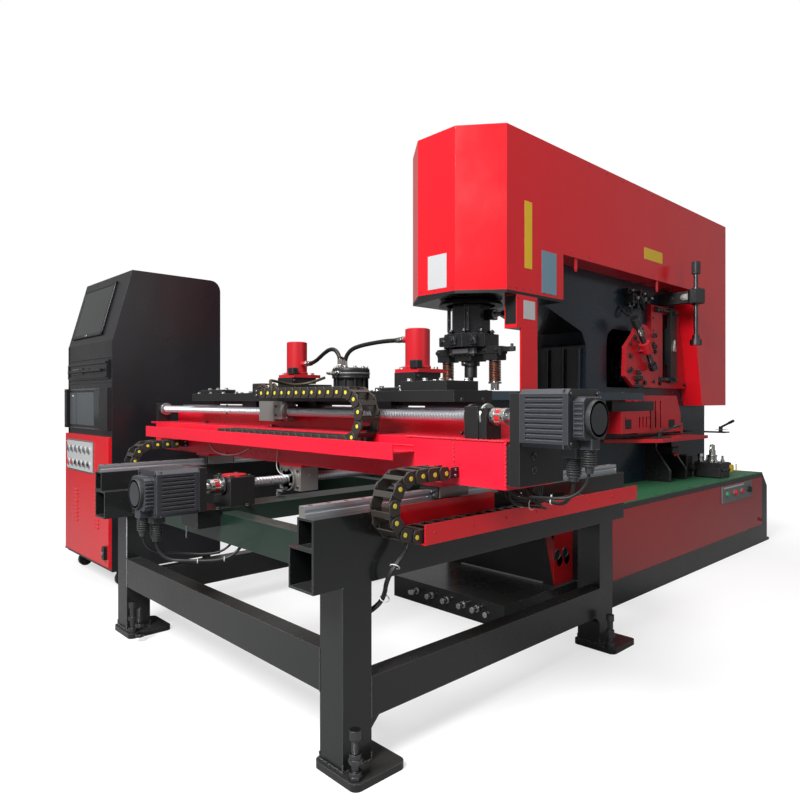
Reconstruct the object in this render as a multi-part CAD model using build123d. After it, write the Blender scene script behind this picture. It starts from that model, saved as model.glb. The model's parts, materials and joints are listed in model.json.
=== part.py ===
"""Hydraulic punching and shearing machine with a two-axis feed table and a control cabinet.

Millimetres, +Z up. The origin is on the floor, straight below the punch. +Y runs to the
rear of the machine and +X to its right, as an operator in front of the feed table sees it.
"""
import os
from math import cos, pi, radians, sin, tan

from build123d import *

os.makedirs("parts", exist_ok=True)

# Clearances
slide_gap = 0.05              # radial clearance of a shaft in its bore
run_gap = 0.3                 # clearance between flat faces that move past each other
rail_gap = 0.4                # clearance of a carriage round its rail
clear = 2.0                   # open space left beside a moving piece

# Machine frame
frame_half = 170.0            # half the width over the two side plates
side_plate = 32.0
sheet = 4.0                   # sheet metal of covers, trays and panels
table_top = 1040.0            # pass line: top of the table plate
table_plate = 40.0
table_half = 350.0
table_front = -190.0
table_rear = 1105.0
table_corner = 90.0
throat_back = 787.0
throat_top = 1490.0
throat_slope_start = 380.0
throat_slope_end = 745.0
throat_slope_drop = 114.0
throat_fold_drop = 70.0
frame_front = -150.0
frame_rear = 2420.0
nose_bottom = 760.0
nose_rear = 240.0
nose_low = 440.0
window_y = (1012.0, 1400.0)   # opening of the angle shear in the right side plate
window_z = (1075.0, 1420.0)
window_radius = 90.0
rib_width = 78.0
rib_proud = 26.0
rib_radius = 16.0

# Covers
cover_half = 300.0
cover_top = 2245.0
frame_headroom = 95.0         # between the frame's top plate and the covers
head_front = -250.0
head_flat_half = 120.0
head_chamfer = 145.0
head_plate = 14.0             # plate below the head that the hood stands on
head_rear = 350.0
cover_bottom = 1724.0
middle_rear = 1880.0
cover_rear = 2467.0
skirt_bottom = 962.0
skirt_front_top = 1885.0
skirt_front_low = 2050.0
bracket_size = 40.0
bracket_low = 40.0            # lower arms above the covers' bottom edge
bracket_high = 180.0          # upper arms below the covers' top

# Base
base_half = 520.0
base_front = 400.0
base_rear = 2635.0
base_top = 487.0
base_wall = 10.0
base_chamfer = 95.0
deck = 6.0
plinth_half = 350.0
plinth_front = -190.0
plinth_top = 104.0
neck_half = 323.0
neck_top = 380.0
neck_chamfer = 60.0
neck_hole = 26.0
panel_low = 125.0
panel_high = 462.0
panel_inset = 34.0
panel_rear_inset = 105.0
panel_proud = 1.0
lock_radius = 12.0

# Punch unit
casting_flats = 182.0
flange_flats = 262.0
flange_z = (1255.0, 1317.0)
flange_bolt = 9.0
flange_bolt_circle = 108.0
rod_radius = 55.0
rod_length = 220.0
crosshead_z = (1190.0, 1254.0)
crosshead_half = 205.0
crosshead_arm = 34.0
crosshead_core = 49.0
holder_radius = 44.0
holder_height = 22.0
punch_radius = 31.0
punch_shoulder_z = 1110.0
punch_tip_z = 1092.0
punch_tip = 13.0
spring_x = 150.0
spring_radius = 31.0
spring_wire = 5.0
spring_turns = 8
pin_radius = 19.0
pin_gap = 8.0                 # height of the hold-down pins over the table at rest
pin_top = 20.0                # length of a pin inside the crosshead
collar_height = 8.0
spring_low = 1086.0
die_radius = 55.0
die_bore = 16.0
die_proud = 6.0
slug_radius = 30.0

# Guard under the head
guard_box = (70.0, 162.0, 152.0)
guard_box_front = -31.0
guard_strip_front = 2.0
guard_strip = 8.0

# Feed table frame
leg = 100.0
table_right = 750.0
table_left = -822.0
table_y_front = -1400.0
table_y_rear = 10.0
foot = 20.0
foot_lip = 14.0
foot_tail = 68.0
foot_radius = 22.0
beam_z = (505.0, 617.0)
beam_width = 110.0
beam_overhang = 95.0
upper_height = 79.0
upper_width = 71.0
tube_wall = 6.0
stringer_width = 60.0
front_stringer_z = (205.0, 322.0)
side_stringer_z = (134.0, 245.0)
stringer_web = 28.0
cross_drop = 100.0
middle_cross_y = -400.0
jack_radius = 10.0
jack_height = 128.0

# Linear rails
rail_height = 30.0
rail_width = 28.0
rail_inset = 48.0
guide_length = 128.0
guide_width = 84.0
guide_lift = 6.0
guide_crown = 12.0

# Y drive along the middle of the feed table
y_axis_z = 700.0
screw_radius = 17.0
coupling_radius = 25.0
coupling_length = 53.0
motor_size = 150.0
motor_length = 144.0
motor_chamfer = 12.0
encoder_size = 104.0
encoder_length = 30.0
cap_radius = 46.5
cap_length = 12.0
plug_radius = 17.0            # power plug below the motor
plug_reach = 150.0
small_plug_radius = 13.0      # encoder plug
small_plug_reach = 115.0
plug_y = 114.0                # plugs along the motor from its mounting face
small_plug_y = 159.0
y_plate_y = (-1465.0, -1440.0)
y_block_y = (-1344.0, -1249.0)
y_block_half = 60.0
y_block_top = 731.0
y_base_z = 630.0
y_base_depth = 60.0
y_rear_block = -420.0
y_rear_length = 50.0
block_cap = 5.0

# Cross beam
beam_x = (-1225.0, 1023.0)
beam_tip = 60.0               # length of the top flange beyond the beam's left end
beam_y = (-1060.0, -840.0)
beam_body_z = (757.0, 888.0)
beam_wall = 8.0
end_block = 188.0
riser_y = (-940.0, -860.0)
riser_top = 945.0
riser_right = 885.0
x_axis_y = -1000.0
x_axis_z = 953.0
x_plate_x = (1045.0, 1077.0)
x_bearing = (858.0, 907.0)
x_retainer = 26.0
x_post = 22.0
nut_radius = 44.0
nut_length = 80.0

# Carriage on the cross beam
saddle_x = (-900.0, 800.0)
saddle_y = (-1020.0, -840.0)
saddle_z = (995.0, 1030.0)
saddle_tongue = 85.0
tongue_rear = -640.0
clamp_x = (-477.0, 328.0)
clamp_y = -700.0
clamp_half = 55.0
clamp_lip = 8.0
clamp_rear = 70.0
clamp_front = 90.0
clamp_floor = 14.0
clamp_mouth = 12.0            # height between the jaws when they are open
clamp_top = 28.0
cylinder_radius = 47.5
cylinder_height = 152.0
jaw_half = 34.0
jaw_height = 18.0
jaw_front = -520.0
piston_radius = 14.0
hub_radius = 80.0
hub_foot = 66.0
hub_z = 62.0
hub_height = 44.0
hose_radius = 9.0
cable_radius = 5.0
small_cable_radius = 4.0
end_gap = 0.15                # between a slanting cable end's rim and the face it meets
port_length = 22.0
port_height = {1: 50.0, -1: 118.0}    # hose ports of the left and the right clamp

# Drag chains
chain_width = 80.0
chain_height = 38.0
chain_bend = 81.0
tray_gap = 0.5
chain_gap = 0.4
x_chain_front = -1142.0
x_chain_low = 864.0
x_chain_centre = 422.0
x_chain_end = -95.0
x_lower_run = 860.0
y_chain_low = 632.0
y_chain_centre = -1235.0
y_chain_end = -1095.0
y_lower_run = 960.0
right_chain_x = 780.0
left_chain_x = -930.0
tray_side = 12.0
tray_y = (-1215.0, -22.0)
tray_inner_rear = -793.0
x_tray = (-1130.0, 674.0)

# Shear station on the right of the machine
housing_thick = 30.0
housing_front = 1515.0
housing_z = (1076.0, 1603.0)
slot_y = (1673.0, 1843.0)
slot_z = (1138.0, 1558.0)
tool_bar_y = (1738.0, 1828.0)
tool_bar_z = (1112.0, 1596.0)
tool_bar_thick = 26.0
tongue_half = 120.0
guard_stand = 20.0
guard_thick = 25.0
angle_guard_outline = [
    (1197.0, 1076.0), (1513.0, 1076.0), (1513.0, 1330.0), (1440.0, 1400.0), (1350.0, 1456.0),
    (1247.0, 1456.0), (1197.0, 1391.0), (1100.0, 1314.0), (1090.0, 1139.0),
]
screw_tilt = 40.5
angle_screw_y = 1156.0
angle_screw_z = 1456.0
angle_screw_stand = 33.0
angle_screw_radius = 15.0
angle_screw_length = 330.0
boss_start = 150.0
boss_length = 70.0
pad_radius = 27.0
pad_length = 34.0
arm_y = (1655.0, 1750.0)
arm_z = (1606.0, 1694.0)
spindle_x = 401.0
spindle_y = 1702.0
spindle_radius = 13.0
spindle_z = (1392.0, 1792.0)
knob_radius = 25.0
knob_height = 76.0
shear_table_x = 400.0
shear_table_y = (1241.0, 1894.0)
shear_table_z = (752.0, 772.0)
gusset_y = (1490.0, 1715.0)
gusset_thick = 20.0
bar_guard_x = 330.0
bar_guard_y = (884.0, 1225.0)
bar_guard_z = (812.0, 936.0)
blade_guard_x = 245.0
blade_guard_y = (1240.0, 1841.0)
blade_guard_z = (795.0, 1028.0)
guard_slot = 17.0
blade_thick = 26.0
lever_stud = 6.0
lever_hub = 12.0

# Control plate on the base's right panel
plate_y = (1790.0, 2300.0)
plate_z = (352.0, 456.0)
plate_thick = 9.0
button_radius = 15.0
button_gap = 0.3
button_travel = 4.0
button_pitch = 125.0
button_margin = 70.0          # first button from the plate's front end
selector_margin = 65.0        # selector from the plate's rear end

# Control cabinet
cabinet_x = (-2155.0, -1438.0)
cabinet_y = (-1203.0, -583.0)
cabinet_z = (92.0, 1700.0)
cabinet_break = 1318.0
cabinet_slope = 105.0
cabinet_round = 60.0
cabinet_wall = 3.0
door_z = (110.0, 803.0)
door_lip = 30.0
door_thick = 19.0
door_gap = 0.5
bay_z = (836.0, 1065.0)
drawer_z = (1114.0, 1216.0)
drawer_depth = 380.0
drawer_front = 12.0
castor_radius = 37.5
castor_width = 24.0
castor_inset = 62.0
hinge_radius = 6.0
hinge_pin = 3.0
hinge_length = 34.0


def block(x, y, z):
    """A box between two limits on each axis."""
    size = Box(x[1] - x[0], y[1] - y[0], z[1] - z[0])
    return Pos((x[0] + x[1]) / 2, (y[0] + y[1]) / 2, (z[0] + z[1]) / 2) * size


def span(a, b):
    """Two limits in rising order."""
    return (min(a, b), max(a, b))


def around(centre, half):
    return (centre - half, centre + half)


def rod(start, way, length, radius):
    """A round bar from a point, along a direction."""
    return extrude(Plane(origin=start, z_dir=way) * Circle(radius), length)


def plate_yz(points, x):
    """A plate cut to an outline of (y, z) points, between two X limits."""
    face = make_face(Polyline(*[(x[0], y, z) for y, z in points], close=True))
    return extrude(face, x[1] - x[0], dir=(1, 0, 0))


def plate_xz(points, y):
    """A plate cut to an outline of (x, z) points, between two Y limits."""
    face = make_face(Polyline(*[(x, y[0], z) for x, z in points], close=True))
    return extrude(face, y[1] - y[0], dir=(0, 1, 0))


def plate_xy(points, z):
    """A plate cut to an outline of (x, y) points, between two Z limits."""
    face = make_face(Polyline(*[(x, y, z[0]) for x, y in points], close=True))
    return extrude(face, z[1] - z[0], dir=(0, 0, 1))


def octagon(centre, flats, z):
    """An upright octagonal prism with its flats facing the axes."""
    face = RegularPolygon(flats / 2, 8, major_radius=False, rotation=22.5)
    return Pos(centre[0], centre[1], z[0]) * extrude(face, z[1] - z[0])


def along(point, way, distance):
    return tuple(p + w * distance for p, w in zip(point, way))


def join(parts):
    """One solid from pieces that touch."""
    whole = parts[0]
    for part in parts[1:]:
        whole += part
    return whole


def group(parts):
    """Separate solids kept together in one node."""
    solids = []
    for part in parts:
        solids += part.solids()
    return Compound(children=solids)


def save(name, shape):
    export_step(shape, "parts/" + name + ".step")


# Machine frame and covers

lower_top = table_top - table_plate
frame_top = cover_top - frame_headroom
deck_top = base_top + deck
slope_z = throat_top - throat_slope_drop
fold_z = slope_z - throat_fold_drop
head_plate_z = (throat_top + 8.0 - head_plate, throat_top + 8.0)


def frame_outline():
    """Side view of the C-shaped frame, as (y, z) points."""
    return [
        (frame_front, lower_top), (frame_front, nose_bottom), (nose_rear, nose_low),
        (nose_rear, plinth_top), (base_front, plinth_top), (base_front, deck_top),
        (frame_rear, deck_top), (frame_rear, frame_top), (frame_front, frame_top),
        (frame_front, throat_top), (throat_slope_start, throat_top),
        (throat_slope_end, slope_z), (throat_back, fold_z), (throat_back, lower_top),
    ]


def throat_webs(inner):
    """Plates that join the two side plates all round."""
    web = side_plate
    front = (frame_front, frame_front + web)
    walls = [
        ((frame_front, nose_rear + 200), (lower_top - web, lower_top)),
        ((throat_back, throat_back + web), (lower_top - web, fold_z)),
        (front, (nose_bottom + 20, lower_top)),
        ((frame_front, throat_slope_start), (throat_top, throat_top + web)),
        (front, (throat_top, frame_top)),
        ((frame_front, frame_rear), (frame_top - web, frame_top)),
        ((frame_rear - web, frame_rear), (deck_top, frame_top)),
        ((nose_rear, nose_rear + web), (plinth_top, nose_low)),
    ]
    webs = [block((-inner, inner), y, z) for y, z in walls]
    slope = [
        (throat_slope_start, throat_top), (throat_slope_end, slope_z), (throat_back, fold_z),
        (throat_back + web, fold_z), (throat_slope_end + web, slope_z + web),
        (throat_slope_start, throat_top + web),
    ]
    webs.append(plate_yz(slope, (-inner, inner)))
    return webs


def throat_ribs():
    """Cast ribs that stand proud of the throat's rear wall."""
    ribs = []
    for centre in (-104, 0, 104):
        rib = block(around(centre, rib_width / 2), (throat_back - rib_proud, throat_back),
                    (table_top, fold_z - 14))
        front = rib.edges().filter_by(Axis.Z).sort_by(Axis.Y)[:2]
        ribs.append(fillet(front, rib_radius))
    return ribs


def cover_brackets():
    """Arms that carry the sheet covers."""
    half = bracket_size / 2
    low = cover_bottom + bracket_low
    high = cover_top - bracket_high
    places = [(y, low) for y in (500, 1150, 1780, 1960, 2330)]
    places += [(y, high) for y in (-60, 260, 600, 1150, 1780, 1960, 2330)]
    bars = []
    for y, z in places:
        for side in (-1, 1):
            reach = span(side * frame_half, side * (cover_half - sheet))
            bars.append(block(reach, around(y, half), around(z, half)))
    return bars


def head_outline():
    """Plan view of the hood over the punch cylinder."""
    corner = head_front + head_chamfer
    return [
        (-head_flat_half, head_front), (head_flat_half, head_front), (cover_half, corner),
        (cover_half, head_rear), (-cover_half, head_rear), (-cover_half, corner),
    ]


def c_frame():
    """Two side plates joined by webs, with the head plate and the cover brackets."""
    inner = frame_half - side_plate
    outline = frame_outline()
    sides = [plate_yz(outline, (inner, frame_half)), plate_yz(outline, (-frame_half, -inner))]
    body = join(sides + throat_webs(inner) + throat_ribs())
    body = join([body] + cover_brackets())
    body += plate_xy(head_outline(), head_plate_z)
    opening = block((inner - 1, frame_half + 1), window_y, window_z)
    upper = opening.edges().filter_by(Axis.X).sort_by(Axis.Z)[-2:]
    body -= fillet(upper, window_radius)
    body -= rod((0, 0, lower_top - side_plate - 1), (0, 0, 1), side_plate + 2, slug_radius)
    return body


def punch_guard():
    """Switch box under the head and the upright guard strip below it."""
    width, depth, height = guard_box
    low = head_plate_z[0] - height
    box = block((cover_half - width, cover_half), (guard_box_front, guard_box_front + depth),
                (low, head_plate_z[0]))
    rear = guard_box_front + depth
    strip = block((cover_half - guard_strip, cover_half), (guard_strip_front, rear),
                  (table_top, low))
    return [box, strip]


def head_cover():
    """Sheet hood over the punch cylinder, open below and at the rear, with the punch guard."""
    low = head_plate_z[1]
    outline = make_face(Polyline(*[(x, y, low) for x, y in head_outline()], close=True))
    inside = offset(outline, amount=-sheet, kind=Kind.INTERSECTION)
    hood = extrude(outline, cover_top - low, dir=(0, 0, 1))
    hood -= extrude(inside, cover_top - sheet - low, dir=(0, 0, 1))
    mouth = (-cover_half + sheet, cover_half - sheet)
    hood -= block(mouth, (head_rear - 2 * sheet, head_rear + 1), (low - 1, cover_top - sheet))
    return group([hood] + punch_guard())


def bridge_cover(y, outline):
    """A cover across the frame: a side on each hand and a top."""
    right = plate_yz(outline, (cover_half - sheet, cover_half))
    left = plate_yz(outline, (-cover_half, -cover_half + sheet))
    top = block((-cover_half, cover_half), y, (cover_top - sheet, cover_top))
    return join([top, right, left])


def middle_cover():
    y = (head_rear, middle_rear)
    outline = [(y[0], cover_bottom), (y[1], cover_bottom), (y[1], cover_top), (y[0], cover_top)]
    shell = bridge_cover(y, outline)
    for side in (-1, 1):
        x = span(side * frame_half, side * cover_half)
        shell += block(x, (y[0], y[0] + sheet), (head_plate_z[1], cover_bottom + sheet))
        shell += block(x, (y[0], y[1]), (cover_bottom, cover_bottom + sheet))
    return shell


def rear_cover():
    """The rear cover, with a skirt down each side and across the rear."""
    y = (middle_rear, cover_rear)
    outline = [(y[0], cover_bottom), (skirt_front_top, cover_bottom),
               (skirt_front_low, skirt_bottom), (y[1], skirt_bottom), (y[1], cover_top),
               (y[0], cover_top)]
    shell = bridge_cover(y, outline)
    shell += block((-cover_half, cover_half), (y[1] - sheet, y[1]), (skirt_bottom, cover_top))
    wing = [(skirt_front_top, cover_bottom), (skirt_front_low, skirt_bottom),
            (skirt_front_low + sheet, skirt_bottom), (skirt_front_top + sheet, cover_bottom)]
    for side in (-1, 1):
        shell += plate_yz(wing, span(side * frame_half, side * cover_half))
    return shell


# Base

def base_frame():
    """Welded base: a long hollow cabinet and a low plinth under the throat."""
    side_view = [
        (base_front, 0), (base_rear, 0), (base_rear, base_top - base_chamfer),
        (base_rear - base_chamfer, base_top), (base_front, base_top),
    ]
    wall = base_wall
    shell = plate_yz(side_view, (-base_half, base_half))
    shell -= block(around(0, base_half - wall), (base_front + wall, base_rear - base_chamfer - wall),
                   (wall, base_top - wall))
    for side in (-1, 1):
        recess = span(side * (base_half - sheet), side * (base_half + 1))
        shell -= block(recess, (base_front + panel_inset, base_rear - panel_rear_inset),
                       (panel_low, panel_high))
    plinth = block(around(0, plinth_half), (plinth_front, base_front), (0, plinth_top))
    plinth -= block(around(0, plinth_half - wall), (plinth_front + wall, base_front - wall),
                    (wall, plinth_top - wall))
    shell += plinth
    for side in (-1, 1):
        toe = span(side * (base_half - 80), side * base_half)
        shell += block(toe, (base_rear, base_rear + 45), (0, 18))
    return shell


def base_panels():
    """Sheet panels let into the base, and the box round its neck."""
    gap = 1.5
    parts = []
    y = (base_front + panel_inset + gap, base_rear - panel_rear_inset - gap)
    z = (panel_low + gap, panel_high - gap)
    for side in (-1, 1):
        x = span(side * (base_half - sheet), side * (base_half + panel_proud))
        panel = block(x, y, z)
        lock = (side * (base_half + panel_proud), y[1] - 40, plinth_top + 65)
        parts.append(panel + rod(lock, (side, 0, 0), 6, lock_radius))
    for side in (-1, 1):
        x = span(side * (neck_half - sheet), side * neck_half)
        wall = block(x, (nose_rear, base_front), (plinth_top, neck_top))
        for hole_y in (nose_rear + 48, nose_rear + 112):
            wall -= rod((side * (neck_half - 2 * sheet), hole_y, 214), (side, 0, 0), 3 * sheet,
                        neck_hole)
        lid_x = span(side * frame_half, side * neck_half)
        parts.append(wall + block(lid_x, (nose_rear, base_front), (neck_top - sheet, neck_top)))
    cut = neck_top - neck_chamfer
    front = [(-neck_half, plinth_top), (neck_half, plinth_top), (neck_half, cut),
             (neck_half - neck_chamfer, neck_top), (-neck_half + neck_chamfer, neck_top),
             (-neck_half, cut)]
    parts.append(plate_xz(front, (nose_rear - sheet, nose_rear)))
    return group(parts)


def deck_plate():
    """Plate on top of the base that the frame stands on."""
    return block(around(0, base_half), (base_front, base_rear - base_chamfer), (base_top, deck_top))


# Punch unit

def punch_cylinder():
    """Octagonal cylinder casting with its flange, bored for the piston rod."""
    body = octagon((0, 0), casting_flats, (flange_z[1], head_plate_z[0]))
    body += octagon((0, 0), flange_flats, flange_z)
    for turn in range(8):
        angle = radians(22.5 + 45 * turn)
        spot = (flange_bolt_circle * cos(angle), flange_bolt_circle * sin(angle), flange_z[1])
        body += rod(spot, (0, 0, 1), 12, flange_bolt)
    return body - rod((0, 0, flange_z[0] - 1), (0, 0, 1), head_plate_z[0] - flange_z[0] + 1,
                      rod_radius + slide_gap)


def ram():
    """Piston rod with the crosshead that pushes the punch and the springs."""
    low, high = crosshead_z
    arm_low = high - crosshead_arm
    body = rod((0, 0, high), (0, 0, 1), rod_length, rod_radius)
    body += block(around(0, crosshead_core), around(0, 60), crosshead_z)
    arm = block(around(0, crosshead_half), around(0, 42), (arm_low, high))
    body += chamfer(arm.edges().filter_by(Axis.Z), 18)
    for side in (-1, 1):
        x = around(side * spring_x, 38)
        body += block(x, around(0, 38), (low, arm_low))
        body -= rod((side * spring_x, 0, low - 1), (0, 0, 1), high - low + 2,
                    pin_radius + slide_gap)
    return body


def punch():
    """Punch holder and punch under the crosshead."""
    top = crosshead_z[0]
    body = rod((0, 0, top - holder_height), (0, 0, 1), holder_height, holder_radius)
    body += rod((0, 0, punch_shoulder_z), (0, 0, 1), top - holder_height - punch_shoulder_z,
                punch_radius)
    return body + rod((0, 0, punch_tip_z), (0, 0, 1), punch_shoulder_z - punch_tip_z, punch_tip)


def hold_down_pins():
    """Two pins that hang in the crosshead and press the sheet on the table."""
    low = table_top + pin_gap
    pins = []
    for x in (-spring_x, spring_x):
        pin = rod((x, 0, low), (0, 0, 1), crosshead_z[0] + pin_top - low, pin_radius)
        collar = rod((x, 0, spring_low - collar_height), (0, 0, 1), collar_height, spring_radius)
        pins.append(pin + collar)
    return group(pins)


def stripper_springs():
    """One round-wire coil on each hold-down pin."""
    margin = spring_wire + 0.1
    height = crosshead_z[0] - spring_low - 2 * margin
    coils = []
    for side in (-1, 1):
        path = Helix(height / spring_turns, height, spring_radius - spring_wire,
                     center=(side * spring_x, 0, spring_low + margin))
        profile = Plane(origin=path @ 0, z_dir=path % 0) * Circle(spring_wire)
        coils.append(sweep(profile, path, is_frenet=True))
    return group(coils)


def work_table():
    """Table plate round the frame's rear arm."""
    corner = table_corner
    half = table_half
    outline = [
        (-half + corner, table_front), (half - corner, table_front), (half, table_front + corner),
        (half, table_rear), (frame_half, table_rear), (frame_half, throat_back),
        (-frame_half, throat_back), (-frame_half, table_rear), (-half, table_rear),
        (-half, table_front + corner),
    ]
    plate = plate_xy(outline, (lower_top, table_top))
    return plate - rod((0, 0, lower_top), (0, 0, 1), table_plate, die_radius)


def die_set():
    """Table plate through the throat, with the die let into it."""
    die = rod((0, 0, lower_top), (0, 0, 1), table_plate + die_proud, die_radius)
    die -= rod((0, 0, lower_top), (0, 0, 1), table_plate + die_proud, die_bore)
    return group([work_table(), die])


# Section shear, angle shear and flat bar shear

housing_face = frame_half + housing_thick
tool_bar_x = (housing_face + run_gap, housing_face + run_gap + tool_bar_thick)
angle_guard_x = (housing_face + guard_stand, housing_face + guard_stand + guard_thick)
screw_way = (0.0, sin(radians(screw_tilt)), -cos(radians(screw_tilt)))
screw_start = (angle_guard_x[1] + angle_screw_stand, angle_screw_y, angle_screw_z)


def skirt_y(z):
    """Front edge of the rear cover's skirt at a height."""
    share = (cover_bottom - z) / (cover_bottom - skirt_bottom)
    return skirt_front_top + share * (skirt_front_low - skirt_front_top)


def slotted_guard(reach, y, z, slots, window, slope):
    """A guard box open towards the frame, with upright slots and a sight window."""
    def outline(wall):
        return [(y[0] + wall, z[0] + wall), (y[1] - wall, z[0] + wall),
                (y[1] - wall, z[1] - slope - wall), (y[1] - slope / 2 - wall, z[1] - wall),
                (y[0] + wall, z[1] - wall)]
    guard = plate_yz(outline(0), (frame_half, reach))
    guard -= plate_yz(outline(sheet), (frame_half - 1, reach - sheet))
    face = (reach - 2 * sheet, reach + 1)
    for start in slots:
        guard -= block(face, (start, start + guard_slot), (z[0] + 30, z[1] - 34))
    return guard - block(face, window, (z[0] + 26, z[0] + 78))


def shear_guards():
    """The two slotted guards of the bar shear, and the rest bar on the front one."""
    bar = slotted_guard(bar_guard_x, bar_guard_y, bar_guard_z, (1090, 1132, 1174), (926, 1000), 20)
    blade = slotted_guard(blade_guard_x, blade_guard_y, blade_guard_z, (1400, 1470, 1540),
                          (1660, 1750), 120)
    top = bar_guard_z[1]
    rest = block((bar_guard_x - 76, bar_guard_x - 40), (bar_guard_y[0] - 28, 1361), (top, top + 56))
    return [bar, blade, rest]


def shear_housing():
    """Upright plate with the slot that the tool bar runs in, and the guards below it."""
    low, high = housing_z
    outline = [(housing_front, low), (skirt_y(low) - clear, low), (skirt_y(high) - clear, high),
               (housing_front, high)]
    plate = plate_yz(outline, (frame_half, housing_face))
    plate -= block((frame_half - 1, housing_face + 1), slot_y, slot_z)
    for z in (low + 30, high - 30):
        for y in (housing_front + 40, housing_front + 110, skirt_y(z) - 30):
            plate += rod((housing_face, y, z), (1, 0, 0), 12, 11)
    return group([plate] + shear_guards())


def shear_bar():
    """Tool bar that slides up and down over the slot, guided by a tongue in it."""
    bar = block(tool_bar_x, tool_bar_y, tool_bar_z)
    middle = sum(slot_z) / 2
    bar += block((frame_half + sheet, tool_bar_x[0]), tool_bar_y, around(middle, tongue_half))
    y = sum(tool_bar_y) / 2
    pointer = [(y - 20, middle - 30), (y + 20, middle - 30), (y + 4, middle + 46)]
    bar += plate_yz(pointer, (tool_bar_x[1], tool_bar_x[1] + 8))
    for z in (tool_bar_z[0] + 28, tool_bar_z[1] - 28):
        bar += rod((tool_bar_x[1], y, z), (1, 0, 0), 14, 13)
    return bar


def angle_guard():
    """Guard plate of the angle shear on stand-offs, with the boss of its sloping screw."""
    plate = plate_yz(angle_guard_outline, angle_guard_x)
    face = angle_guard_x[1]
    for y, z in ((1445, 1110), (1480, 1200), (1445, 1330), (1430, 1110)):
        plate += rod((frame_half, y, z), (1, 0, 0), angle_guard_x[0] - frame_half, 12)
    for y, z in ((1445, 1115), (1445, 1350), (1130, 1170), (1150, 1330), (1290, 1425), (1230, 1115)):
        plate += rod((face, y, z), (1, 0, 0), 9, 11)
    start = along(screw_start, screw_way, boss_start)
    plate += rod(start, screw_way, boss_length, angle_screw_radius + 18)
    middle = along(start, screw_way, boss_length / 2)
    plate += block((face, middle[0]), around(middle[1], 26), around(middle[2], 26))
    return plate - rod(along(screw_start, screw_way, boss_start - 60), screw_way,
                       boss_length + 120, angle_screw_radius + slide_gap)


def angle_screw():
    """Sloping hold-down screw with a knurled head."""
    body = rod(screw_start, screw_way, angle_screw_length, angle_screw_radius)
    return body + rod(along(screw_start, screw_way, -30), screw_way, 60, angle_screw_radius + 11)


def angle_pad():
    """Swivel pad on the tip of the sloping screw."""
    start = along(screw_start, screw_way, angle_screw_length - 14)
    pad = rod(start, screw_way, pad_length, pad_radius)
    return pad - rod(along(start, screw_way, -1), screw_way, 15 + run_gap,
                     angle_screw_radius + slide_gap)


def hold_down_arm():
    """Bracket above the tool bar that carries the upright spindle."""
    arm = block((frame_half, spindle_x), (arm_y[0] + 18, arm_y[1] - 18), (arm_z[0] + 8, arm_z[1] - 8))
    arm += octagon((spindle_x, spindle_y), arm_y[1] - arm_y[0], arm_z)
    return arm - rod((spindle_x, spindle_y, arm_z[0] - 1), (0, 0, 1), arm_z[1] - arm_z[0] + 2,
                     spindle_radius + slide_gap)


def hold_down_spindle():
    """Upright spindle with a knurled head."""
    low, high = spindle_z
    body = rod((spindle_x, spindle_y, low), (0, 0, 1), high - low, spindle_radius)
    return body + rod((spindle_x, spindle_y, high), (0, 0, 1), knob_height, knob_radius)


def hold_down_pad():
    """Swivel pad on the end of the spindle."""
    tip = spindle_z[0]
    cup = rod((spindle_x, spindle_y, tip - 47), (0, 0, 1), 34, 35)
    cup += rod((spindle_x, spindle_y, tip - 13), (0, 0, 1), 30, 22)
    return cup - rod((spindle_x, spindle_y, tip - run_gap), (0, 0, 1), 30,
                     spindle_radius + slide_gap)


stop_bar_z = (shear_table_z[1], shear_table_z[1] + 8)
gauge_z = (shear_table_z[1] + 12, shear_table_z[1] + 20)
guide_pivot = (352.0, 1300.0)
stop_pivot = (430.0, 2025.0)


def shear_table():
    """Work table of the bar shear on its gussets, with the stop bar and the gauge plate."""
    y0, y1 = shear_table_y
    x1 = shear_table_x
    low, high = shear_table_z
    outline = [(frame_half, y0 - 260), (x1 - 90, y0 - 120), (x1, y0), (x1, y1), (frame_half, y1)]
    table = plate_xy(outline, (low, high))
    for y in gusset_y:
        side = [(frame_half, deck_top), (x1 - 70, deck_top), (x1 - 70, deck_top + 70),
                (frame_half + 70, low - 60), (frame_half + 70, low), (frame_half, low)]
        table += plate_xz(side, (y, y + gusset_thick))
    stop = block((bar_guard_x + clear, x1 - 28), (bar_guard_y[1] - 10, y0 + 180), stop_bar_z)
    stop += rod((*guide_pivot, stop_bar_z[1]), (0, 0, 1), 30, lever_stud)
    gauge = block((frame_half, x1 + 70), around(stop_pivot[1], 45), gauge_z)
    gauge += rod((*stop_pivot, gauge_z[1]), (0, 0, 1), 30, lever_stud)
    return group([table, stop, gauge])


def shear_blade():
    """Moving blade of the bar shear, behind its guard."""
    outline = [(1270, 905), (1640, 870), (1640, 985), (1270, 985)]
    return plate_yz(outline, (frame_half + run_gap, frame_half + run_gap + blade_thick))


def lever(pivot, height, turn):
    """A clamping lever on a stud."""
    hub = rod((*pivot, height + run_gap), (0, 0, 1), 34, lever_hub)
    at = Pos(pivot[0], pivot[1], height + 28) * Rot(0, 0, turn) * Rot(0, -22, 0)
    arm = at * Pos(46, 0, 0) * Box(84, 12, 10)
    grip = at * Pos(104, 0, 0) * Rot(0, 90, 0) * Cylinder(9, 40)
    return hub + arm + grip - rod((*pivot, height), (0, 0, 1), 40, lever_stud + slide_gap)


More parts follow.
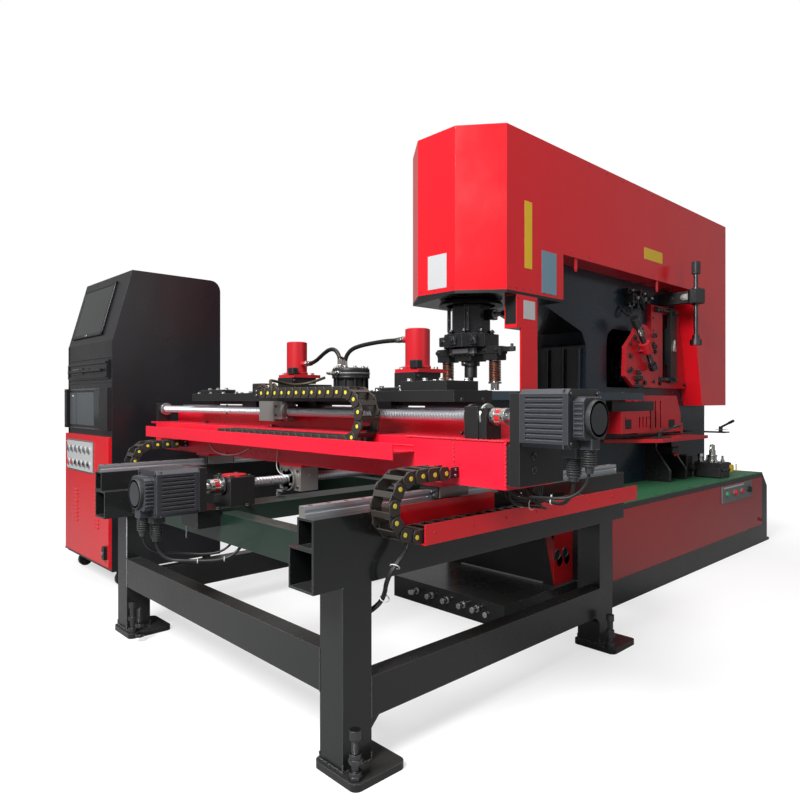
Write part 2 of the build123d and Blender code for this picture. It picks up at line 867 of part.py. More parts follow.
def valve_block():
    """Hydraulic valve block with its fittings on the deck, and the small filter cap."""
    body = block((302, 474), (1915, 2056), (deck_top, deck_top + 100))
    body += rod((392, 1985, deck_top + 100), (0, 0, 1), 40, 24)
    body += rod((392, 1985, deck_top + 140), (0, 0, 1), 64, 13)
    body += rod((330, 1950, deck_top + 100), (0, 0, 1), 46, 15)
    cap = rod((335, 2440, deck_top), (0, 0, 1), 46, 26)
    return group([body, cap])


# Control plate

plate_face = base_half + panel_proud
plate_mid = sum(plate_z) / 2
button_y = tuple(plate_y[0] + button_margin + button_pitch * step for step in range(3))
selector_y = plate_y[1] - selector_margin


def button_plate():
    """Plate with bezels for three push buttons, and a selector knob."""
    box = block((plate_face, plate_face + plate_thick), plate_y, plate_z)
    face = plate_face + plate_thick
    for y in button_y:
        box += rod((face, y, plate_mid), (1, 0, 0), 6, button_radius + 6)
        box -= rod((plate_face, y, plate_mid), (1, 0, 0), plate_thick + 7, button_radius + button_gap)
    box += rod((face, selector_y, plate_mid), (1, 0, 0), 6, 20)
    box += block((face + 6, face + 22), around(selector_y, 5), around(plate_mid, 17))
    return box


def button(y, proud):
    """Cap of one push button."""
    back = plate_face + button_travel + run_gap
    front = plate_face + plate_thick + 6 + proud
    return rod((back, y, plate_mid), (1, 0, 0), front - back, button_radius)


# Feed table

upper_z = (beam_z[1], beam_z[1] + upper_height)
table_ends = (table_y_front - beam_overhang, table_y_rear + beam_overhang)
rail_x = (table_left + rail_inset, table_right - rail_inset)
guide_z = (upper_z[1] + guide_lift, upper_z[1] + rail_height + guide_crown)
cross_z = (beam_z[1] - cross_drop, beam_z[1])


def hollow_tube(x, y, z):
    """A square tube open at both ends."""
    wall = tube_wall
    bore = block((x[0] + wall, x[1] - wall), (y[0] - 1, y[1] + 1), (z[0] + wall, z[1] - wall))
    return block(x, y, z) - bore


def foot_plate(leg_x, y):
    """Base plate of a leg, longer towards the rear and to the right."""
    plate = block((leg_x[0] - foot_lip, leg_x[1] + foot_tail),
                  (y - foot_lip, y + leg + foot_tail), (0, foot))
    return fillet(plate.edges().filter_by(Axis.Z), foot_radius)


def table_side(outer, way):
    """One side of the feed table: two legs, a stringer and the stacked long tubes."""
    leg_x = span(outer, outer + way * leg)
    stringer_x = span(outer, outer + way * stringer_width)
    parts = [
        hollow_tube(span(outer, outer + way * beam_width), table_ends, beam_z),
        hollow_tube(span(outer, outer + way * upper_width), table_ends, upper_z),
        block(stringer_x, (table_y_front + leg, table_y_rear - leg), side_stringer_z),
    ]
    for y in (table_y_front, table_y_rear - leg):
        parts.append(block(leg_x, (y, y + leg), (foot, beam_z[0])))
        parts.append(foot_plate(leg_x, y))
    low = side_stringer_z[0]
    for y, step in ((table_y_front + leg, 1), (table_y_rear - leg, -1)):
        web = [(y, low), (y, low - stringer_web), (y + step * stringer_web, low)]
        parts.append(plate_yz(web, stringer_x))
    return parts


def table_frame():
    """Welded frame of the feed table."""
    frame = join(table_side(table_right, -1))
    frame += join(table_side(table_left, 1))
    between_legs = (table_left + leg, table_right - leg)
    frame += block(between_legs, (table_y_front, table_y_front + stringer_width), front_stringer_z)
    between_beams = (table_left + beam_width, table_right - beam_width)
    for y in (table_y_front + 20, middle_cross_y, table_y_rear - leg + 20):
        frame += block(between_beams, (y, y + stringer_width), cross_z)
    support_y = (y_plate_y[0], middle_cross_y + stringer_width)
    frame += block(around(0, y_block_half), support_y, (y_base_z - y_base_depth, y_base_z))
    return frame


def levelling_bolts():
    """Jack bolts with their nuts, one beside each leg."""
    bolts = []
    for leg_right in (table_left + leg, table_right):
        x = leg_right + foot_tail - 28
        for y in (table_y_front + 9, table_y_rear - leg + 9):
            bolt = rod((x, y, foot), (0, 0, 1), 22, 17)
            bolt += rod((x, y, foot + 22), (0, 0, 1), jack_height - 46, jack_radius)
            bolt += rod((x, y, foot + 52), (0, 0, 1), 16, 16)
            bolt += rod((x, y, foot + jack_height - 24), (0, 0, 1), 24, 15)
            bolts.append(bolt)
    return group(bolts)


def rail_section(centre, low, grow):
    """Profile of a linear rail across its length, grown all round for a carriage."""
    half = rail_width / 2
    head = 0.96 * half
    waist = 0.62 * half
    right = [(half, 0, 0), (half, 0.36, 0), (waist, 0.5, 0), (head, 0.72, 1), (head, 1, 1)]
    points = [(centre + x + grow, low + share * rail_height + grow * up) for x, share, up in right]
    points += [(2 * centre - x, z) for x, z in reversed(points)]
    return points


def y_rails():
    """Linear rails on the long beams."""
    return group([plate_xz(rail_section(x, upper_z[1], 0), table_ends) for x in rail_x])


def y_bearing_blocks():
    """Motor plate and the two bearing blocks of the long screw."""
    motor_plate = block(around(0, motor_size / 2), y_plate_y, (y_base_z, y_axis_z + motor_size / 2))
    motor_plate -= rod((0, y_plate_y[0], y_axis_z), (0, 1, 0), 30, coupling_radius + 8)
    front = block(around(0, y_block_half), y_block_y, (y_base_z, y_block_top))
    front += rod((0, sum(y_block_y) / 2, y_block_top), (0, 0, 1), block_cap, 42)
    rear = block(around(0, y_block_half), (y_rear_block, y_rear_block + y_rear_length),
                 (y_base_z, y_block_top))
    bore = rod((0, y_plate_y[0], y_axis_z), (0, 1, 0), 1300, screw_radius + slide_gap)
    return group([motor_plate, front - bore, rear - bore])


def motor_section():
    """Cross section of a finned motor body."""
    section = Rectangle(motor_size, motor_size)
    section = chamfer(section.vertices(), motor_chamfer)
    half = motor_size / 2
    for step in range(-4, 5):
        for turn in range(4):
            section -= Rot(0, 0, 90 * turn) * Pos(half, step * 13) * Rectangle(8, 6)
    return section


def motor(origin, way, up):
    """Servo motor: finned body, encoder with its round cap, and two connectors below."""
    plain = chamfer(Rectangle(motor_size, motor_size).vertices(), motor_chamfer)
    flange = 16.0
    body = extrude(plain, flange)
    body += Pos(0, 0, flange) * extrude(motor_section(), motor_length - 2 * flange)
    body += Pos(0, 0, motor_length - flange) * extrude(plain, flange)
    encoder = chamfer(Rectangle(encoder_size, encoder_size).vertices(), 8)
    body += Pos(0, 0, motor_length) * extrude(encoder, encoder_length)
    body += Pos(0, 0, motor_length + encoder_length) * extrude(Circle(cap_radius), cap_length)
    plugs = ((plug_radius, motor_size, plug_reach, plug_y),
             (small_plug_radius, encoder_size, small_plug_reach, small_plug_y))
    for radius, size, reach, place in plugs:
        start = size / 2 - 2 * motor_chamfer
        body += Pos(-(start + reach) / 2, 0, place) * Rot(0, 90, 0) * Cylinder(radius, reach - start)
    return Plane(origin=origin, z_dir=way, x_dir=up) * body


def y_motor():
    return motor((0, y_plate_y[0], y_axis_z), (0, -1, 0), (0, 0, 1))


def screw(start, way, length, coupling_at):
    """Ball screw with its shaft coupling."""
    body = rod(start, way, length, screw_radius)
    return body + rod(along(start, way, coupling_at), way, coupling_length, coupling_radius)


def y_screw():
    start = y_plate_y[0] + run_gap
    length = y_rear_block + y_rear_length - 5 - start
    coupling_at = y_block_y[0] - run_gap - coupling_length - start
    return screw((0, start, y_axis_z), (0, 1, 0), length, coupling_at)


def x_screw():
    start = x_plate_x[1] - run_gap
    length = start - (beam_x[0] - beam_tip + 4)
    coupling_at = start - (x_bearing[1] + x_retainer + run_gap + coupling_length)
    return screw((start, x_axis_y, x_axis_z), (-1, 0, 0), length, coupling_at)


tray_floor = y_chain_low - chain_height / 2 - tray_gap


def cable_trays():
    """Sheet trays beside the long beams that the chains lie in."""
    trays = []
    for chain_x, beam_face, way in ((right_chain_x, table_right, 1), (left_chain_x, table_left, -1)):
        x = (chain_x - tray_side, chain_x + chain_width + tray_side)
        outer, inner = (x[1], x[0]) if way > 0 else (x[0], x[1])
        tray = block(x, tray_y, (tray_floor - sheet, tray_floor))
        tray += block(span(outer, outer - way * sheet), tray_y, (tray_floor - sheet, tray_floor + 52))
        tray += block(span(inner, inner + way * sheet), (tray_y[0], tray_inner_rear),
                      (tray_floor - sheet, tray_floor + 92))
        for y in (tray_y[0] + 60, sum(tray_y) / 2, tray_y[1] - 60):
            tray += block(span(beam_face, inner + way * sheet), around(y, 15),
                          (tray_floor - sheet, tray_floor))
        trays.append(tray)
    return group(trays)


# Cross beam

beam_top = beam_body_z[1]
x_chain_y = (x_chain_front, x_chain_front + chain_width)
shelf_z = x_chain_low - chain_height / 2 - tray_gap
x_rail_z = (riser_top, riser_top + rail_height)


def cross_beam():
    """Beam across the feed table, with its end block, riser and chain shelf."""
    wall = beam_wall
    left, right = beam_x
    body = block((left, right - end_block), beam_y, beam_body_z)
    body -= block((left - 1, right - end_block - wall), (beam_y[0] + wall, beam_y[1] - wall),
                  (beam_body_z[0] + wall, beam_top - wall))
    body += block((right - end_block, right), beam_y, beam_body_z)
    body += block((left - beam_tip, left), beam_y, (beam_top - wall, beam_top))
    body += block((left, riser_right), riser_y, (beam_top, riser_top))
    lip = x_chain_front - 10
    body += block(x_tray, (lip, beam_y[0]), (shelf_z - sheet, shelf_z))
    body += block(x_tray, (lip, lip + sheet), (shelf_z - 24, shelf_z + 27))
    for x in rail_x:
        body += block(around(x, 60), (beam_y[0] + 30, beam_y[0] + 50 + guide_length),
                      (guide_z[1], beam_body_z[0]))
    return body + block(around(0, y_block_half + 14), (beam_y[0], beam_y[0] + nut_length + 4),
                        (beam_body_z[0] - 10, beam_body_z[0]))


def y_guide_blocks():
    """Carriages on the long rails and the nut housing on the long screw."""
    parts = []
    y = (beam_y[0] + 40, beam_y[0] + 40 + guide_length)
    for x in rail_x:
        carriage = block(around(x, guide_width / 2), y, guide_z)
        groove = plate_xz(rail_section(x, upper_z[1], rail_gap), (y[0] - 1, y[1] + 1))
        parts.append(carriage - groove)
    low = y_axis_z - nut_radius + 2
    nut = block(around(0, y_block_half + 10), (beam_y[0], beam_y[0] + nut_length),
                (low, beam_body_z[0] - 10))
    nut += rod((0, beam_y[0] - 14, y_axis_z), (0, 1, 0), 14, nut_radius)
    for turn in range(6):
        angle = radians(60 * turn + 30)
        spot = (34 * cos(angle), beam_y[0] - 14, y_axis_z + 34 * sin(angle))
        nut += rod(spot, (0, -1, 0), 7, 5)
    parts.append(nut - rod((0, beam_y[0] - 30, y_axis_z), (0, 1, 0), 200, screw_radius + slide_gap))
    return group(parts)


def x_rail():
    """Linear rail on the riser of the cross beam."""
    middle = sum(riser_y) / 2
    return plate_yz(rail_section(middle, riser_top, 0), (beam_x[0], riser_right))


def x_bearing_blocks():
    """Motor plate, bearing block and end support of the cross screw."""
    y = around(x_axis_y, motor_size / 2)
    plate = block(x_plate_x, y, (beam_body_z[0] + 15, x_axis_z + 65))
    plate += block((beam_x[1], x_plate_x[0]), (beam_y[0], beam_y[0] + 190),
                   (beam_body_z[0] + 15, beam_top - 10))
    plate += block(x_plate_x, (y[1], beam_y[0] + 190), (beam_body_z[0] + 15, beam_top - 10))
    plate -= rod((x_plate_x[0], x_axis_y, x_axis_z), (1, 0, 0), 40, coupling_radius + 8)
    bearing = block(x_bearing, around(x_axis_y, 40), (beam_top, x_axis_z + 29))
    bearing += block((x_bearing[1], x_bearing[1] + x_retainer), around(x_axis_y, 34),
                     (beam_top, x_axis_z + 24))
    post_x = (beam_x[0] - beam_tip, beam_x[0] - beam_tip + x_post)
    post = block(post_x, around(x_axis_y, 34), (beam_top, x_axis_z + 30))
    post += rod((post_x[1], x_axis_y, x_axis_z), (1, 0, 0), 6, 28)
    bore = rod((post_x[0] - 1, x_axis_y, x_axis_z), (1, 0, 0), 2300, screw_radius + slide_gap)
    return group([plate, bearing - bore, post - bore])


def x_motor():
    return motor((x_plate_x[1], x_axis_y, x_axis_z), (1, 0, 0), (0, 0, 1))


# Drag chains

def chain_half_ring():
    """Side view of a chain's bend, open towards +X."""
    outer = chain_bend + chain_height / 2
    ring = Circle(outer) - Circle(chain_bend - chain_height / 2)
    return ring - Pos(-outer, 0) * Rectangle(2 * outer, 4 * outer)


def y_chain_bends():
    """Bend and lower run of the two chains beside the long beams."""
    parts = []
    half = chain_height / 2
    for x in (right_chain_x, left_chain_x):
        plane = Plane(origin=(x, y_chain_centre, y_chain_low + chain_bend), x_dir=(0, -1, 0),
                      z_dir=(1, 0, 0))
        bend = extrude(plane * chain_half_ring(), chain_width)
        run = block((x, x + chain_width), (y_chain_centre, y_chain_centre + y_lower_run),
                    around(y_chain_low, half))
        parts.append(bend + run)
    return group(parts)


def y_chain_runs():
    """Upper runs of the two chains, with their end brackets on the beam."""
    parts = []
    z = y_chain_low + 2 * chain_bend
    for x in (right_chain_x, left_chain_x):
        run = block((x, x + chain_width), (y_chain_centre + chain_gap, y_chain_end),
                    around(z, chain_height / 2))
        run += block((x + 6, x + chain_width - 6), (y_chain_end, beam_y[0]), around(z, 15))
        parts.append(run)
    return group(parts)


def x_chain_bend():
    """Bend and lower run of the chain on the cross beam."""
    plane = Plane(origin=(x_chain_centre, x_chain_y[1], x_chain_low + chain_bend),
                  x_dir=(1, 0, 0), z_dir=(0, -1, 0))
    bend = extrude(plane * chain_half_ring(), chain_width)
    run = block((x_chain_centre - x_lower_run, x_chain_centre), x_chain_y,
                around(x_chain_low, chain_height / 2))
    return bend + run


def x_chain_run():
    """Upper run of the chain on the cross beam."""
    z = x_chain_low + 2 * chain_bend
    return block((x_chain_end, x_chain_centre - chain_gap), x_chain_y, around(z, chain_height / 2))


# Carriage

saddle_top = saddle_z[1]
clamp_middle = sum(clamp_x) / 2
clamp_base_z = (saddle_top, saddle_top + clamp_floor)
jaw_z = (clamp_base_z[1] + clamp_mouth, clamp_base_z[1] + clamp_mouth + jaw_height)
clamp_head_z = (jaw_z[1] + clear, jaw_z[1] + clear + clamp_top)
clamp_lid_z = (clamp_head_z[1], clamp_head_z[1] + 14)
hub_top = saddle_top + hub_z + hub_height


def saddle():
    """Carriage plate with three tongues and the bracket of its chain."""
    plate = block(saddle_x, saddle_y, saddle_z)
    for x in (*clamp_x, clamp_middle):
        plate += block(around(x, saddle_tongue), (saddle_y[1], tongue_rear), saddle_z)
    z = x_chain_low + 2 * chain_bend
    plate += block((x_chain_end - 40, x_chain_end), (x_chain_y[0] + 8, saddle_y[0]),
                   (z - 15, saddle_top))
    plate += block((560, 760), (saddle_y[0] + 10, saddle_y[1] - 20), (saddle_top, saddle_top + 30))
    return plate


def x_nut():
    """Nut housing on the cross screw and the carriages on the cross rail."""
    top = saddle_z[0]
    nut = block((-264, -155), around(x_axis_y, 34), (x_axis_z - 38, top))
    nut += block((-155, -102), around(x_axis_y, 30), (x_axis_z - 30, top))
    nut += rod((-102, x_axis_y, x_axis_z), (1, 0, 0), 14, 38)
    for turn in range(6):
        angle = radians(60 * turn)
        spot = (-88, x_axis_y + 29 * cos(angle), x_axis_z + 29 * sin(angle))
        nut += rod(spot, (1, 0, 0), 7, 5)
    parts = [nut - rod((-300, x_axis_y, x_axis_z), (1, 0, 0), 300, screw_radius + slide_gap)]
    middle = sum(riser_y) / 2
    for x in (-560, -120, 320):
        carriage = block((x, x + 120), around(middle, guide_width / 2), (riser_top + guide_lift, top))
        groove = plate_yz(rail_section(middle, riser_top, rail_gap), (x - 1, x + 121))
        parts.append(carriage - groove)
    return group(parts)


def clamp_body(x):
    """C-shaped clamp housing with its upright cylinder, bored for the piston."""
    side = around(x, clamp_half)
    rear = clamp_y - clamp_rear
    body = block(side, (rear, clamp_y + clamp_front), clamp_base_z)
    body += block(around(x, jaw_half + 4), (clamp_y, jaw_front), clamp_base_z)
    body += block(side, (rear, clamp_y - jaw_half - clear), (clamp_base_z[1], clamp_head_z[0]))
    body += block(side, (rear, clamp_y + clamp_rear), clamp_head_z)
    body += block(around(x, clamp_half + clamp_lip), (rear + 10, clamp_y + clamp_front), clamp_lid_z)
    top = clamp_lid_z[1]
    body += rod((x, clamp_y, top), (0, 0, 1), cylinder_height, cylinder_radius)
    way = 1 if x < clamp_middle else -1
    port_z = top + port_height[way]
    body += rod((x, clamp_y, port_z), (way, 0, 0), cylinder_radius + port_length, hose_radius + 3)
    return body - rod((x, clamp_y, jaw_z[1]), (0, 0, 1), 110, piston_radius + slide_gap)


def clamp_bodies():
    """The two clamps and the round manifold between them."""
    foot_pad = rod((clamp_middle, clamp_y, saddle_top), (0, 0, 1), hub_z, hub_foot)
    head = rod((clamp_middle, clamp_y, saddle_top + hub_z), (0, 0, 1), hub_height, hub_radius)
    head = fillet(head.edges().sort_by(Axis.Z)[-1:], 10)
    return group([clamp_body(x) for x in clamp_x] + [foot_pad + head])


def jaw(x):
    """Pressing jaw of one clamp on its piston rod."""
    body = block(around(x, jaw_half), (clamp_y - jaw_half, jaw_front), jaw_z)
    return body + rod((x, clamp_y, jaw_z[1]), (0, 0, 1), 84, piston_radius)


def hose_routes():
    """Centre lines of the hoses, from the manifold to the two clamp cylinders."""
    top = hub_top
    to_right = clamp_x[1] - cylinder_radius - port_length
    to_left = clamp_x[0] + cylinder_radius + port_length
    right_z = clamp_lid_z[1] + port_height[-1]
    left_z = clamp_lid_z[1] + port_height[1]
    y = clamp_y
    right = clamp_middle - 42
    left = clamp_middle - 16
    return [
        [(right, y, top), (right, y, top + 32), (-101, y + 2, top + 63), (-71, y + 5, top + 83),
         (-24, y + 9, top + 93), (30, y + 10, top + 98), (88, y + 9, top + 101),
         (146, y + 5, top + 102), (204, y, right_z), (to_right, y, right_z)],
        [(left, y - 46, top), (left, y - 46, top + 32), (-105, y - 45, top + 63),
         (-134, y - 43, top + 82), (-176, y - 37, top + 84), (-222, y - 29, top + 72),
         (-270, y - 20, top + 54), (-320, y - 8, top + 39), (-366, y, left_z), (to_left, y, left_z)],
    ]


def arc_radii(points):
    """The radius of each corner's arc, as large as its two runs leave room for."""
    radii = []
    for before, corner, after in zip(points, points[1:], points[2:]):
        a = Vector(*corner) - Vector(*before)
        b = Vector(*after) - Vector(*corner)
        turn = radians(a.get_angle(b))
        radii.append(0.45 * min(a.length, b.length) / tan(turn / 2))
    return radii


def tubes(routes):
    """Round tubes along routes of straight runs joined by arcs."""
    made = []
    for points, radius in routes:
        radii = arc_radii(points)
        path = FilletPolyline(*points, radius=radii)
        tube = sweep(Plane(origin=path @ 0, z_dir=path % 0) * Circle(radius), path)
        share = tube.volume / (pi * radius ** 2 * path.length)
        print("least radius in diameters", round(min(radii) / (2 * radius), 1), "volume", round(share, 3))
        made.append(tube)
    return group(made)


def clamp_hoses():
    return tubes([(points, hose_radius) for points in hose_routes()])


# Cables

def shifted(points, way):
    return [tuple(a + b for a, b in zip(point, way)) for point in points]


def drawn_back(points, radius, face):
    """The route with its last point drawn back, so that its slanting end only meets the face."""
    end, before = Vector(*points[-1]), Vector(*points[-2])
    slant = (1 - (end - before).normalized().dot(Vector(*face)) ** 2) ** 0.5
    end = end - Vector(*face) * (radius * slant + end_gap)
    return points[:-1] + [tuple(end)]


def beam_cables():
    """Cables of the cross motor, and the loops behind the beam's right end."""
    x = x_plate_x[1]
    under = beam_body_z[0]
    plug = (x + plug_y, x_axis_y, x_axis_z - plug_reach)
    small = (x + small_plug_y, x_axis_y, x_axis_z - small_plug_reach)
    up = (0, 0, 1)
    routes = [(drawn_back(points, radius, up), radius) for points, radius in (
        ([plug, (1191, -1000, 773), (1174.7, -995.1, 743.6), (1146.5, -986.6, 726.6),
          (1108.2, -975.1, 726.6), (1070, -963, 729), (1034, -953, 737), (1008, -946, under)],
         cable_radius),
        ([small, (1236, -1000, 804), (1218.3, -1007, 771), (1188.6, -1018.8, 750),
          (1151.4, -1033.6, 748), (1110, -1031, 745), (1070, -1023, 741), (1036, -1015, 740),
          (1010, -1010, under)], small_cable_radius),
    )]
    loop = [(845, -864, 727), (847, -846, 700), (855, -806, 690), (877, -776, 686),
            (919, -772, 687), (941, -804, 691), (949, -846, 702), (951, -864, 729)]
    for step in range(3):
        lower = shifted(loop, (12 * step, 8 * step, -10 * step))
        first, last = lower[0], lower[-1]
        routes.append(([(first[0], first[1], under)] + lower + [(last[0], last[1], under)],
                       small_cable_radius))
    return tubes(routes)


def table_cables():
    """Cables of the long screw's motor, and the pair that leaves the right tray."""
    y = y_plate_y[0]
    under = cross_z[0]
    plug = (0, y - plug_y, y_axis_z - plug_reach)
    small = (0, y - small_plug_y, y_axis_z - small_plug_reach)
    pair = [(800, -1205, tray_floor - sheet), (800, -1217, 581), (799, -1244, 558),
            (793, -1268, 530), (780, -1273, 498), (764, -1262, 468), (748, -1262, 440),
            (738, -1280, 422), (736, table_y_front + leg, 416)]
    up = (0, 0, 1)
    pair = drawn_back(pair[::-1], cable_radius, up)[::-1]
    second = ([(789, -1205, pair[0][2])] + shifted(pair[1:-1], (-11, 7, 0))
              + [(725, table_y_front + leg, 416)])
    routes = [(drawn_back(points, radius, up), radius) for points, radius in (
        ([plug, (0, -1579, 522), (10.2, -1565.4, 492.6), (27.9, -1541.9, 475.6),
          (51.9, -1509.9, 473), (79, -1474, 471), (106, -1438, 470), (130, -1403, 474),
          (146, -1373, 490), (150, -1352, under)], cable_radius),
        ([small, (0, -1624, 553), (-3.8, -1605.4, 520), (-10.3, -1573, 501), (-10, -1534, 493),
          (0, -1496, 487), (22, -1462, 483), (48, -1432, 481), (70, -1400, 484),
          (84, -1372, 496), (88, -1354, under)], small_cable_radius),
    )]
    for points in (pair, second):
        routes.append((drawn_back(points, cable_radius, (0, -1, 0)), cable_radius))
    return tubes(routes)


# Control cabinet

slope_top = (cabinet_y[0] + cabinet_slope, cabinet_z[1])
hinge_x = cabinet_x[0] - hinge_radius
hinge_y = cabinet_y[0] - hinge_radius
inner_x = (cabinet_x[0] + door_lip, cabinet_x[1] - door_lip)


def cabinet_outline():
    """Side view of the cabinet, as (y, z) points, with its rounded rear top."""
    rear, top, r = cabinet_y[1], cabinet_z[1], cabinet_round
    points = [(cabinet_y[0], cabinet_z[0]), (rear, cabinet_z[0])]
    for step in range(7):
        angle = radians(15 * step)
        points.append((rear - r + r * cos(angle), top - r + r * sin(angle)))
    return points + [slope_top, (cabinet_y[0], cabinet_break)]


def hinge_knuckles():
    """Knuckles with their pins on the cabinet's left edge."""
    parts = []
    for z in (door_z[0] + 60, door_z[1] - 60 - hinge_length):
        parts.append(rod((hinge_x, hinge_y, z), (0, 0, 1), hinge_length, hinge_radius))
        parts.append(rod((hinge_x, hinge_y, z - hinge_length), (0, 0, 1), 2 * hinge_length, hinge_pin))
        parts.append(block((hinge_x - 3, cabinet_x[0]), (hinge_y, hinge_y + 30), (z, z + hinge_length)))
    return parts


def cabinet_body():
    """Sheet cabinet with its drawer shelf, door frame and hinges."""
    wall = cabinet_wall
    x = cabinet_x
    face = make_face(Polyline(*[(x[0], y, z) for y, z in cabinet_outline()], close=True))
    inside = offset(face, amount=-wall, kind=Kind.INTERSECTION)
    shell = extrude(face, x[1] - x[0], dir=(1, 0, 0))
    shell -= Pos(wall, 0, 0) * extrude(inside, x[1] - x[0] - 2 * wall, dir=(1, 0, 0))
    front = (cabinet_y[0] - 1, cabinet_y[0] + wall + 1)
    shell -= block(inner_x, front, (drawer_z[0], drawer_z[1]))
    shell -= block(inner_x, front, (door_z[0] + 12, door_z[1] - 12))
    shell += block((x[0], x[1]), (cabinet_y[0] + wall, cabinet_y[1]), (drawer_z[0] - wall, drawer_z[0]))
    return join([shell] + hinge_knuckles())


def keyboard_drawer():
    """Drawer on its shelf, with a handle across its front."""
    gap = run_gap
    low, high = drawer_z[0] + gap, drawer_z[1] - clear
    x = (inner_x[0] + clear, inner_x[1] - clear)
    y = (cabinet_y[0] - drawer_front, cabinet_y[0] + drawer_depth)
    tray = block(x, y, (low, high))
    tray -= block((x[0] + 3, x[1] - 3), (cabinet_y[0], y[1] - 3), (low + 3, high + 1))
    handle = (y[0] - 22, y[0])
    bar = block((x[0] + 60, x[1] - 60), (handle[0], handle[0] + 8), (low + 42, low + 54))
    for end in (x[0] + 60, x[1] - 72):
        bar += block((end, end + 12), handle, (low + 42, low + 54))
    return tray + bar


def lower_door():
    """Door with its two hinge barrels, latch and the plate of keys on it."""
    y = (cabinet_y[0] - door_gap - door_thick, cabinet_y[0] - door_gap)
    x = (cabinet_x[0] + 5, cabinet_x[1] - 5)
    door = block(x, y, door_z)
    for z in (door_z[0] + 60 - hinge_length, door_z[1] - 60 - 2 * hinge_length):
        z_range = (z + run_gap, z + hinge_length - run_gap)
        door += rod((hinge_x, hinge_y, z_range[0]), (0, 0, 1), z_range[1] - z_range[0], hinge_radius)
        door += block((hinge_x, x[0]), around(hinge_y, 3), z_range)
        door -= rod((hinge_x, hinge_y, z), (0, 0, 1), hinge_length, hinge_pin + slide_gap)
    door += block((x[1] - 44, x[1] - 14), (y[0] - 18, y[0]), (158, 228))
    keys = block((-2097, -1670), (y[0] - 8, y[0]), (600, 764))
    for row in range(2):
        for column in range(6):
            centre = (-2060 + 70 * column, y[0] - 8, 642 + 80 * row)
            keys += rod(centre, (0, -1, 0), 10, 16)
    return group([door, keys])


def cabinet_panels():
    """Screen on the sloping front, and the closed bay below the drawer."""
    run = (slope_top[0] - cabinet_y[0], cabinet_z[1] - cabinet_break)
    length = (run[0] ** 2 + run[1] ** 2) ** 0.5
    t = (run[0] / length, run[1] / length)
    base = (cabinet_y[0], cabinet_break)
    corners = []
    for s, n in ((60, 0), (60, 8), (334, 8), (334, 0)):
        corners.append((base[0] + s * t[0] - n * t[1], base[1] + s * t[1] + n * t[0]))
    screen = plate_yz(corners, (-2085, -1640))
    bay = block((-2108, -1560), (cabinet_y[0] - 6, cabinet_y[0]), bay_z)
    parts = [screen, bay]
    for x in ((-2150, -2112), (-1556, -1443)):
        parts.append(block(x, (cabinet_y[0] - 26, cabinet_y[0]), bay_z))
    return group(parts)


def cabinet_castors():
    """Four castors under the cabinet."""
    castors = []
    low = cabinet_z[0]
    for x in (cabinet_x[0] + castor_inset, cabinet_x[1] - castor_inset):
        for y in (cabinet_y[0] + castor_inset, cabinet_y[1] - castor_inset):
            half = castor_width / 2
            castor = block(around(x, 34), around(y, 34), (low - 6, low))
            castor += rod((x - half, y + 12, castor_radius), (1, 0, 0), castor_width, castor_radius)
            for side in (-1, 1):
                fork = span(x + side * half, x + side * (half + 4))
                castor += block(fork, (y - 14, y + 24), (castor_radius - 10, low - 6))
            castors.append(castor)
    return group(castors)


nodes = {
    "base_frame": base_frame, "base_panels": base_panels, "deck_plate": deck_plate,
    "c_frame": c_frame, "head_cover": head_cover, "middle_cover": middle_cover,
    "rear_cover": rear_cover, "punch_cylinder": punch_cylinder, "ram": ram, "punch": punch,
    "stripper_springs": stripper_springs, "hold_down_pins": hold_down_pins, "die_set": die_set,
    "shear_housing": shear_housing, "shear_bar": shear_bar, "angle_guard": angle_guard,
    "angle_screw": angle_screw, "angle_pad": angle_pad, "hold_down_arm": hold_down_arm,
    "hold_down_spindle": hold_down_spindle, "hold_down_pad": hold_down_pad,
    "shear_table": shear_table, "shear_blade": shear_blade,
    "valve_block": valve_block, "button_plate": button_plate, "table_frame": table_frame,
    "levelling_bolts": levelling_bolts, "y_rails": y_rails,
    "y_bearing_blocks": y_bearing_blocks, "y_motor": y_motor, "y_screw": y_screw,
    "cable_trays": cable_trays, "cross_beam": cross_beam, "y_guide_blocks": y_guide_blocks,
    "x_rail": x_rail, "x_screw": x_screw, "x_motor": x_motor,
    "x_bearing_blocks": x_bearing_blocks, "y_chain_bends": y_chain_bends,
    "y_chain_runs": y_chain_runs, "x_chain_bend": x_chain_bend, "x_chain_run": x_chain_run,
    "saddle": saddle, "x_nut": x_nut, "clamp_bodies": clamp_bodies, "clamp_hoses": clamp_hoses,
    "beam_cables": beam_cables, "table_cables": table_cables,
    "cabinet_body": cabinet_body, "cabinet_castors": cabinet_castors,
    "keyboard_drawer": keyboard_drawer, "lower_door": lower_door,
    "cabinet_panels": cabinet_panels,
}
for name, make in nodes.items():
    save(name, make())
save("left_jaw", jaw(clamp_x[0]))
save("right_jaw", jaw(clamp_x[1]))
save("guide_lever", lever(guide_pivot, stop_bar_z[1], 35))
save("stop_lever", lever(stop_pivot, gauge_z[1], -30))
for name, y, proud in zip(("start", "stop", "return"), button_y, (6, 14, 6)):
    save(name + "_button", button(y, proud))
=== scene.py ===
"""Finished look of the punching and shearing machine, laid out as a Blender add-on.

Lengths in the making are millimetres, as on the machine's drawings; every piece is brought to
metres when it is placed. +Z is up, +Y runs to the rear and the origin lies under the punch.
"""
import json
from itertools import product
from math import cos, pi, radians, sin

import bmesh
import bpy
from bpy.props import FloatProperty, FloatVectorProperty, IntProperty, PointerProperty
from mathutils import Matrix, Vector

